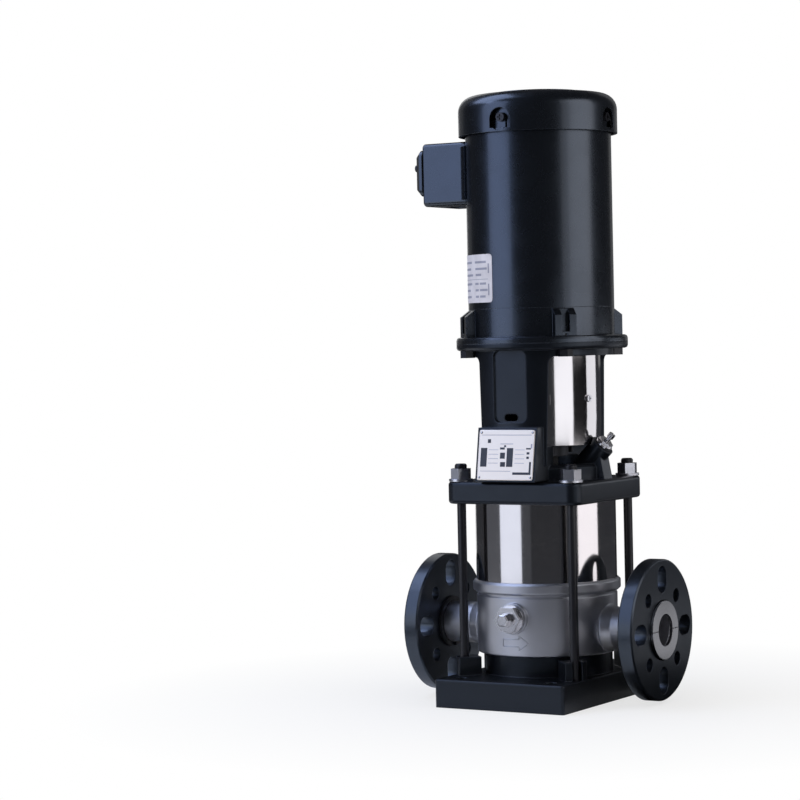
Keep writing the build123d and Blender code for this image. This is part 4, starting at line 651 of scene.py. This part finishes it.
RIVET_ACROSS = 28.6
RIVET_ALONG = 22.3
corners = [on_plate(x * RIVET_ACROSS, y * RIVET_ALONG) for x in (-1, 1) for y in (-1, 1)]
plate_rivets = keep_mesh("plate_rivets", points_object("plate corners", corners), heads,
                         Radius=0.0013, Flatness=0.5, Turn=(math.pi / 2 - PLATE_LEAN, 0.0, 0.0),
                         Material=turned_steel)
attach(plate_rivets, "pump")

# %% [markdown]
# The motor's label is a film that bends round the frame. A patch on a cylinder is
# made of narrow upright columns, and the columns near its ends are shorter, which
# rounds the corners. The grey bars on it are patches of the same kind.

# %% Patches round the motor
COLUMN_WIDTH = 2.5
CORNER_STEPS = 5


def add_patch(shape, radius, thickness, left, right, low, high, corner=0.0):
    """Add a thin rounded rectangle, bent round a cylinder, to a shape."""
    length = math.radians(right - left) * radius
    count = max(2, round(length / COLUMN_WIDTH))
    places = {length * k / count for k in range(count + 1)}
    for k in range(CORNER_STEPS + 1):
        from_end = corner * (1 - math.cos(math.pi * k / (2 * CORNER_STEPS)))
        places |= {from_end, length - from_end}
    columns = []
    for place in sorted({round(place, 4) for place in places}):
        inside = max(0.0, corner - max(0.0, min(place, length - place)))
        inset = corner - math.sqrt(max(0.0, corner ** 2 - inside ** 2))
        azimuth = left + math.degrees(place / radius)
        columns.append([
            shape.verts.new(Vector(on_cylinder(reach, azimuth, z)) * MM)
            for reach, z in ((radius, low + inset), (radius + thickness, low + inset),
                             (radius + thickness, high - inset), (radius, high - inset))
        ])
    for column, following in zip(columns, columns[1:]):
        for k in range(4):
            shape.faces.new((column[k], following[k], following[(k + 1) % 4], column[(k + 1) % 4]))
    shape.faces.new(columns[0])
    shape.faces.new(columns[-1])


print("patch helper ready")

# %% Motor label
LABEL_RADIUS = 73.45
LABEL_THICKNESS = 0.3
INK_RADIUS = LABEL_RADIUS + LABEL_THICKNESS - 0.02
INK_THICKNESS = 0.08
BAR_HEIGHT = 2.2
LABEL_BARS = {
    439.6: ((-34.0, -19.0), (-60.0, -40.0)),
    433.0: ((-33.5, -18.0), (-58.0, -42.0)),
    427.0: ((-33.0, -25.0), (-60.0, -38.0)),
    418.2: ((-34.0, -28.8), (-27.0, -19.2), (-62.0, -40.0)),
    411.8: ((-33.6, -28.8), (-27.0, -17.6), (-58.0, -44.0)),
    405.4: ((-33.5, -28.8), (-27.0, -20.0), (-60.0, -42.0)),
}
LABEL_RULES = [(-66.0, -16.8, 423.4, 423.9), (-17.0, -15.6, 429.5, 439.0),
               (-17.0, -15.6, 407.5, 419.0)]
shape = bmesh.new()
add_patch(shape, LABEL_RADIUS, LABEL_THICKNESS, left=-86.0, right=-12.6, low=400.5, high=448.5,
          corner=3.5)
keep_shape("motor_label", shape, label_film)
shape = bmesh.new()
for level, bars in LABEL_BARS.items():
    for left, right in bars:
        add_patch(shape, INK_RADIUS, INK_THICKNESS, left, right, level, level + BAR_HEIGHT)
for rule in LABEL_RULES:
    add_patch(shape, INK_RADIUS, INK_THICKNESS, *rule)
keep_shape("label_marks", shape, label_ink)

# %% [markdown]
# Small screws have a cross in their heads. The CAD heads are plain, so each set is
# copied, its loose triangles are merged into one skin, and crossed bars are cut
# out of the copy. The copy then stands in for the CAD node.


# %% Crossed screw heads
def cross_cut(name, node, faces, width=1.1, length=4.6, depth=1.2):
    """Cut a cross into screw heads. A face is a point and the way it faces, in millimetres."""
    skin = bmesh.new()
    skin.from_mesh(nodes[node].data)
    bmesh.ops.remove_doubles(skin, verts=skin.verts, dist=1e-6)
    mesh = bpy.data.meshes.new(name)
    skin.to_mesh(mesh)
    skin.free()
    mesh.materials.append(nodes[node].material_slots[0].material)
    copy = add_object(name + " blank", mesh)
    cutter = bmesh.new()
    for place, way in faces:
        turn = Vector(way).to_track_quat("Z", "Y").to_matrix().to_4x4()
        there = Matrix.Translation(Vector(place) * MM) @ turn
        for across, along in ((width, length), (length, width)):
            size = Matrix.Diagonal((across * MM, along * MM, 2 * depth * MM, 1.0))
            bmesh.ops.create_cube(cutter, size=1.0, matrix=there @ size)
    blade_mesh = bpy.data.meshes.new(name + " blade")
    cutter.to_mesh(blade_mesh)
    cutter.free()
    blade = add_object(name + " blade", blade_mesh)
    cut = copy.modifiers.new("cut", "BOOLEAN")
    cut.operation = "DIFFERENCE"
    cut.solver = "EXACT"
    cut.use_self = True
    cut.object = blade
    result = evaluated_mesh(name, copy)
    copy.modifiers.clear()
    for item in (copy, blade):
        bpy.data.objects.remove(item)
    piece = add_object(name, result)
    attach(piece, "pump")
    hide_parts(node)
    print(name, len(result.polygons), "faces")


def heads_round(radius, height, azimuths):
    """The faces of screw heads that stand round the pump's axis."""
    return [(on_cylinder(radius, azimuth, height), on_cylinder(1.0, azimuth, 0.0))
            for azimuth in azimuths]


GUARD_FACE = 60.5
GUARD_SCREW_HEIGHT = 303.0
COVER_FACE = 78.8
COVER_SCREW_HEIGHT = 582.0
LID_FACE = -127.5
LID_SCREW_HEIGHT = 540.0
LID_SCREW_REACH = 26.0
guard_faces = heads_round(GUARD_FACE, GUARD_SCREW_HEIGHT, (78, 258))
cover_faces = heads_round(COVER_FACE, COVER_SCREW_HEIGHT, (0, 90, 180, 270))
lid_faces = [((LID_FACE, y, LID_SCREW_HEIGHT), (-1.0, 0.0, 0.0))
             for y in (-LID_SCREW_REACH, LID_SCREW_REACH)]
cross_cut("guard_screws_cross", "guard_screws", guard_faces)
cross_cut("cover_screws_cross", "cover_screws", cover_faces,
          width=1.3, length=5.6, depth=1.4)
cross_cut("conduit_screws_cross", "conduit_screws", lid_faces)

# %% [markdown]
# The studio. Shiny black and polished steel show what stands around them, so the
# lights are placed by their reflections. At the front left stands one tall soft
# box above another: they draw the pale stripe down the left of each cylinder. On
# the right two tall boxes overlap, so that the stripe there swells slowly, and a
# low one serves the casting and the foot. Weak boxes beside the low left one lift
# what would go black in front, and those at the back do so for the far side. The
# top box lights the upper edges. The fill only lights: nothing mirrors it. The
# brightness of a box is that of its picture in a mirror, where 1 is white.

# %% Lights
WHITE = (1.0, 1.0, 1.0)
BLUE = (0.83, 0.985, 1.46)
COOL = (0.91, 0.97, 1.13)
WARM = (1.0, 0.98, 1.03)
# Each box has a left and a right azimuth, a low and a high end, a brightness and a colour.
SOFT_BOXES = {
    "left box high": (-55.5, -17.0, 0.36, 1.45, 1.22, BLUE),
    "left box low": (-50.0, -11.5, -0.05, 0.36, 1.26, COOL),
    "left side box": (-92.0, -51.0, -0.05, 0.30, 0.075, COOL),
    "front low box": (-10.5, 4.0, -0.05, 0.36, 0.045, COOL),
    "right box wide": (62.0, 112.0, 0.30, 1.40, 0.73, WARM),
    "right box narrow": (74.0, 116.0, 0.30, 1.40, 0.70, WARM),
    "right box low": (80.0, 119.0, -0.05, 0.20, 1.45, WARM),
    "back box left": (-130.0, -105.0, 0.34, 1.40, 0.10, WHITE),
    "back box right": (172.0, 196.0, 0.32, 1.40, 0.16, WHITE),
    "rear box": (217.0, 230.0, 0.0, 1.40, 0.70, WHITE),
}
TOP_BOX_HEIGHT = 1.45
TOP_BOX_TURN = (math.radians(32.0), 0.0, math.radians(-68.0))


def soft_box(name, left, right, low, high, brightness, color, distance=1.15):
    """An upright area light from one azimuth and height to another, at a distance."""
    data = bpy.data.lights.new(name, "AREA")
    data.shape = "RECTANGLE"
    data.size = 2 * distance * math.tan(math.radians(right - left) / 2)
    data.size_y = high - low
    data.energy = brightness * math.pi * data.size * data.size_y
    data.color = color
    lamp = add_object(name, data)
    azimuth = (left + right) / 2
    lamp.location = on_cylinder(distance, azimuth, (low + high) / 2)
    lamp.rotation_euler = (math.pi / 2, 0.0, math.radians(azimuth))
    lamp.visible_camera = False
    return lamp


for name, box in SOFT_BOXES.items():
    soft_box(name, *box)
top_box = soft_box("top box", -94.0, -42.0, 0.0, 0.9, 1.9, BLUE, distance=0.8)
top_box.location.z = TOP_BOX_HEIGHT
top_box.rotation_euler = TOP_BOX_TURN
front_fill = soft_box("front fill", -10.0, 30.0, 0.7, 1.9, 0.9, WHITE, distance=2.2)
front_fill.visible_glossy = False

# %% [markdown]
# The world is white to the camera and in reflections, and a soft even light to
# everything else.

# %% World
world = bpy.data.worlds.new("studio")
world.use_nodes = True
bpy.context.scene.world = world
sky = world.node_tree
sky.nodes.clear()
rays = add_node(sky, "ShaderNodeLightPath").outputs
seen = rays["Is Camera Ray"]
for ray in ("Is Glossy Ray", "Is Transmission Ray"):
    larger = add_node(sky, "ShaderNodeMath", {"operation": "MAXIMUM"}, i0=seen, i1=rays[ray])
    seen = larger.outputs[0]
level = add_node(sky, "ShaderNodeMapRange", Value=seen, To_Min=0.45, To_Max=1.0)
glow = add_node(sky, "ShaderNodeBackground", Color=(1.0, 1.0, 1.0, 1.0),
                Strength=level.outputs[0])
sky.links.new(glow.outputs[0], add_node(sky, "ShaderNodeOutputWorld").inputs["Surface"])
print("world", world.name)

# %% [markdown]
# The floor is white paper. Close to the pump it keeps the soft shadow, and further
# out it fades to pure white, so that no horizon line crosses the picture.


# %% Floor
def plain_mesh(name, points, faces):
    """An object from points and faces."""
    mesh = bpy.data.meshes.new(name)
    mesh.from_pydata(points, [], faces)
    return add_object(name, mesh)


FLOOR_HALF = 3.0
FLOOR_LEVEL = -0.0002
FADE_START = 0.15
FADE_END = 0.5
PAPER_WHITE = (0.85, 0.85, 0.85, 1.0)
floor = plain_mesh("floor", [(x * FLOOR_HALF, y * FLOOR_HALF, FLOOR_LEVEL)
                             for x, y in ((-1, -1), (1, -1), (1, 1), (-1, 1))], [(0, 1, 2, 3)])
paper = bpy.data.materials.new("white paper")
paper.use_nodes = True
tree = paper.node_tree
tree.nodes.clear()
reach = add_node(tree, "ShaderNodeVectorMath", {"operation": "LENGTH"},
                 i0=add_node(tree, "ShaderNodeTexCoord").outputs["Object"])
fade = add_node(tree, "ShaderNodeMapRange", Value=reach.outputs["Value"],
                From_Min=FADE_START, From_Max=FADE_END, To_Min=0.7, To_Max=1.0)
rays = add_node(tree, "ShaderNodeLightPath").outputs
mixed = add_node(tree, "ShaderNodeMixShader",
                 Fac=multiply(tree, fade.outputs[0], rays["Is Camera Ray"]))
matt = add_node(tree, "ShaderNodeBsdfDiffuse", Color=PAPER_WHITE)
lit = add_node(tree, "ShaderNodeEmission", Color=(1.0, 1.0, 1.0, 1.0))
tree.links.new(matt.outputs[0], mixed.inputs[1])
tree.links.new(lit.outputs[0], mixed.inputs[2])
tree.links.new(mixed.outputs[0], add_node(tree, "ShaderNodeOutputMaterial").inputs["Surface"])
floor.data.materials.append(paper)
print("floor", floor.name)

# %% [markdown]
# A studio is dark beyond its lights, and so are the gaps between the stripes on
# the steel. A drum of dark cloth stands round it all, and a ring of the same cloth
# lies on the floor. Both show in reflections alone.

# %% Dark cloth
CLOTH_SIDES = 48
CLOTH_ROUND = [360.0 * k / CLOTH_SIDES for k in range(CLOTH_SIDES)]
DRUM_RIMS = ((2.0, 0.0), (2.0, 2.4))
FLOOR_CLOTH_RIMS = ((0.33, 0.0003), (1.99, 0.0003))


def band(name, azimuths, rims, closed=False, lid=False):
    """A sheet over a row of azimuths, between two rims, each a radius and a height."""
    count = len(azimuths)
    points = [on_cylinder(radius, azimuth, height)
              for radius, height in rims for azimuth in azimuths]
    faces = [(k, (k + 1) % count, count + (k + 1) % count, count + k)
             for k in range(count if closed else count - 1)]
    if lid:
        faces.append(tuple(range(count, 2 * count)))
    return plain_mesh(name, points, faces)


def only_in_gloss(item, material):
    """Give a stage object its material and hide it from everything but reflections."""
    item.data.materials.append(material)
    for ray in ("camera", "diffuse", "shadow", "transmission", "volume_scatter"):
        setattr(item, "visible_" + ray, False)


velvet = start_finish("dark cloth", (0.006, 0.006, 0.007), 0.0, 1.0,
                      Emission_Color=(0.90, 0.95, 1.10, 1.0), Emission_Strength=0.035)[0]
only_in_gloss(band("dark cloth", CLOTH_ROUND, DRUM_RIMS, closed=True, lid=True), velvet)
print("dark cloth stands")

# %% [markdown]
# The guards stand near the height of the camera, so they mirror only a low band of
# the studio. White cards widen their two bright stripes there, and a black card
# between them makes the dark line that parts them. More cards lie on the floor:
# the right one is mirrored by the outlet's ring, the left one by the left side of
# the casting, and the dark one keeps white paper out of the low right faces.

# %% Cards and floor cloth
CARD_STEPS = 12
CARD_LIGHT = (0.98, 1.0, 1.07, 1.0)
UPRIGHT = ((0.45, 0.206), (0.45, 0.352))
ON_FLOOR = ((0.40, 0.001), (1.10, 0.001))
BY_THE_FOOT = ((0.115, 0.0006), (0.40, 0.0006))
# Each card has a left and a right azimuth, its rims and a brightness.
CARDS = {
    "white card left": (49.5, 86.0, UPRIGHT, 1.52),
    "black card": (86.0, 119.0, UPRIGHT, 0.008),
    "white card right": (119.5, 152.0, UPRIGHT, 1.2),
    "floor card right": (132.0, 162.0, ON_FLOOR, 0.34),
    "floor card left": (-100.0, -50.0, ON_FLOOR, 0.90),
    "floor card dark": (52.0, 168.0, BY_THE_FOOT, 0.0),
}
for name, (left, right, rims, brightness) in CARDS.items():
    azimuths = [left + (right - left) * k / CARD_STEPS for k in range(CARD_STEPS + 1)]
    paint = start_finish(name, (0.0, 0.0, 0.0), 0.0, 1.0, Specular_IOR_Level=0.0,
                         Emission_Color=CARD_LIGHT, Emission_Strength=brightness)[0]
    only_in_gloss(band(name, azimuths, rims), paint)
only_in_gloss(band("floor cloth", CLOTH_ROUND, FLOOR_CLOTH_RIMS, closed=True), velvet)
print("cards and floor cloth stand")
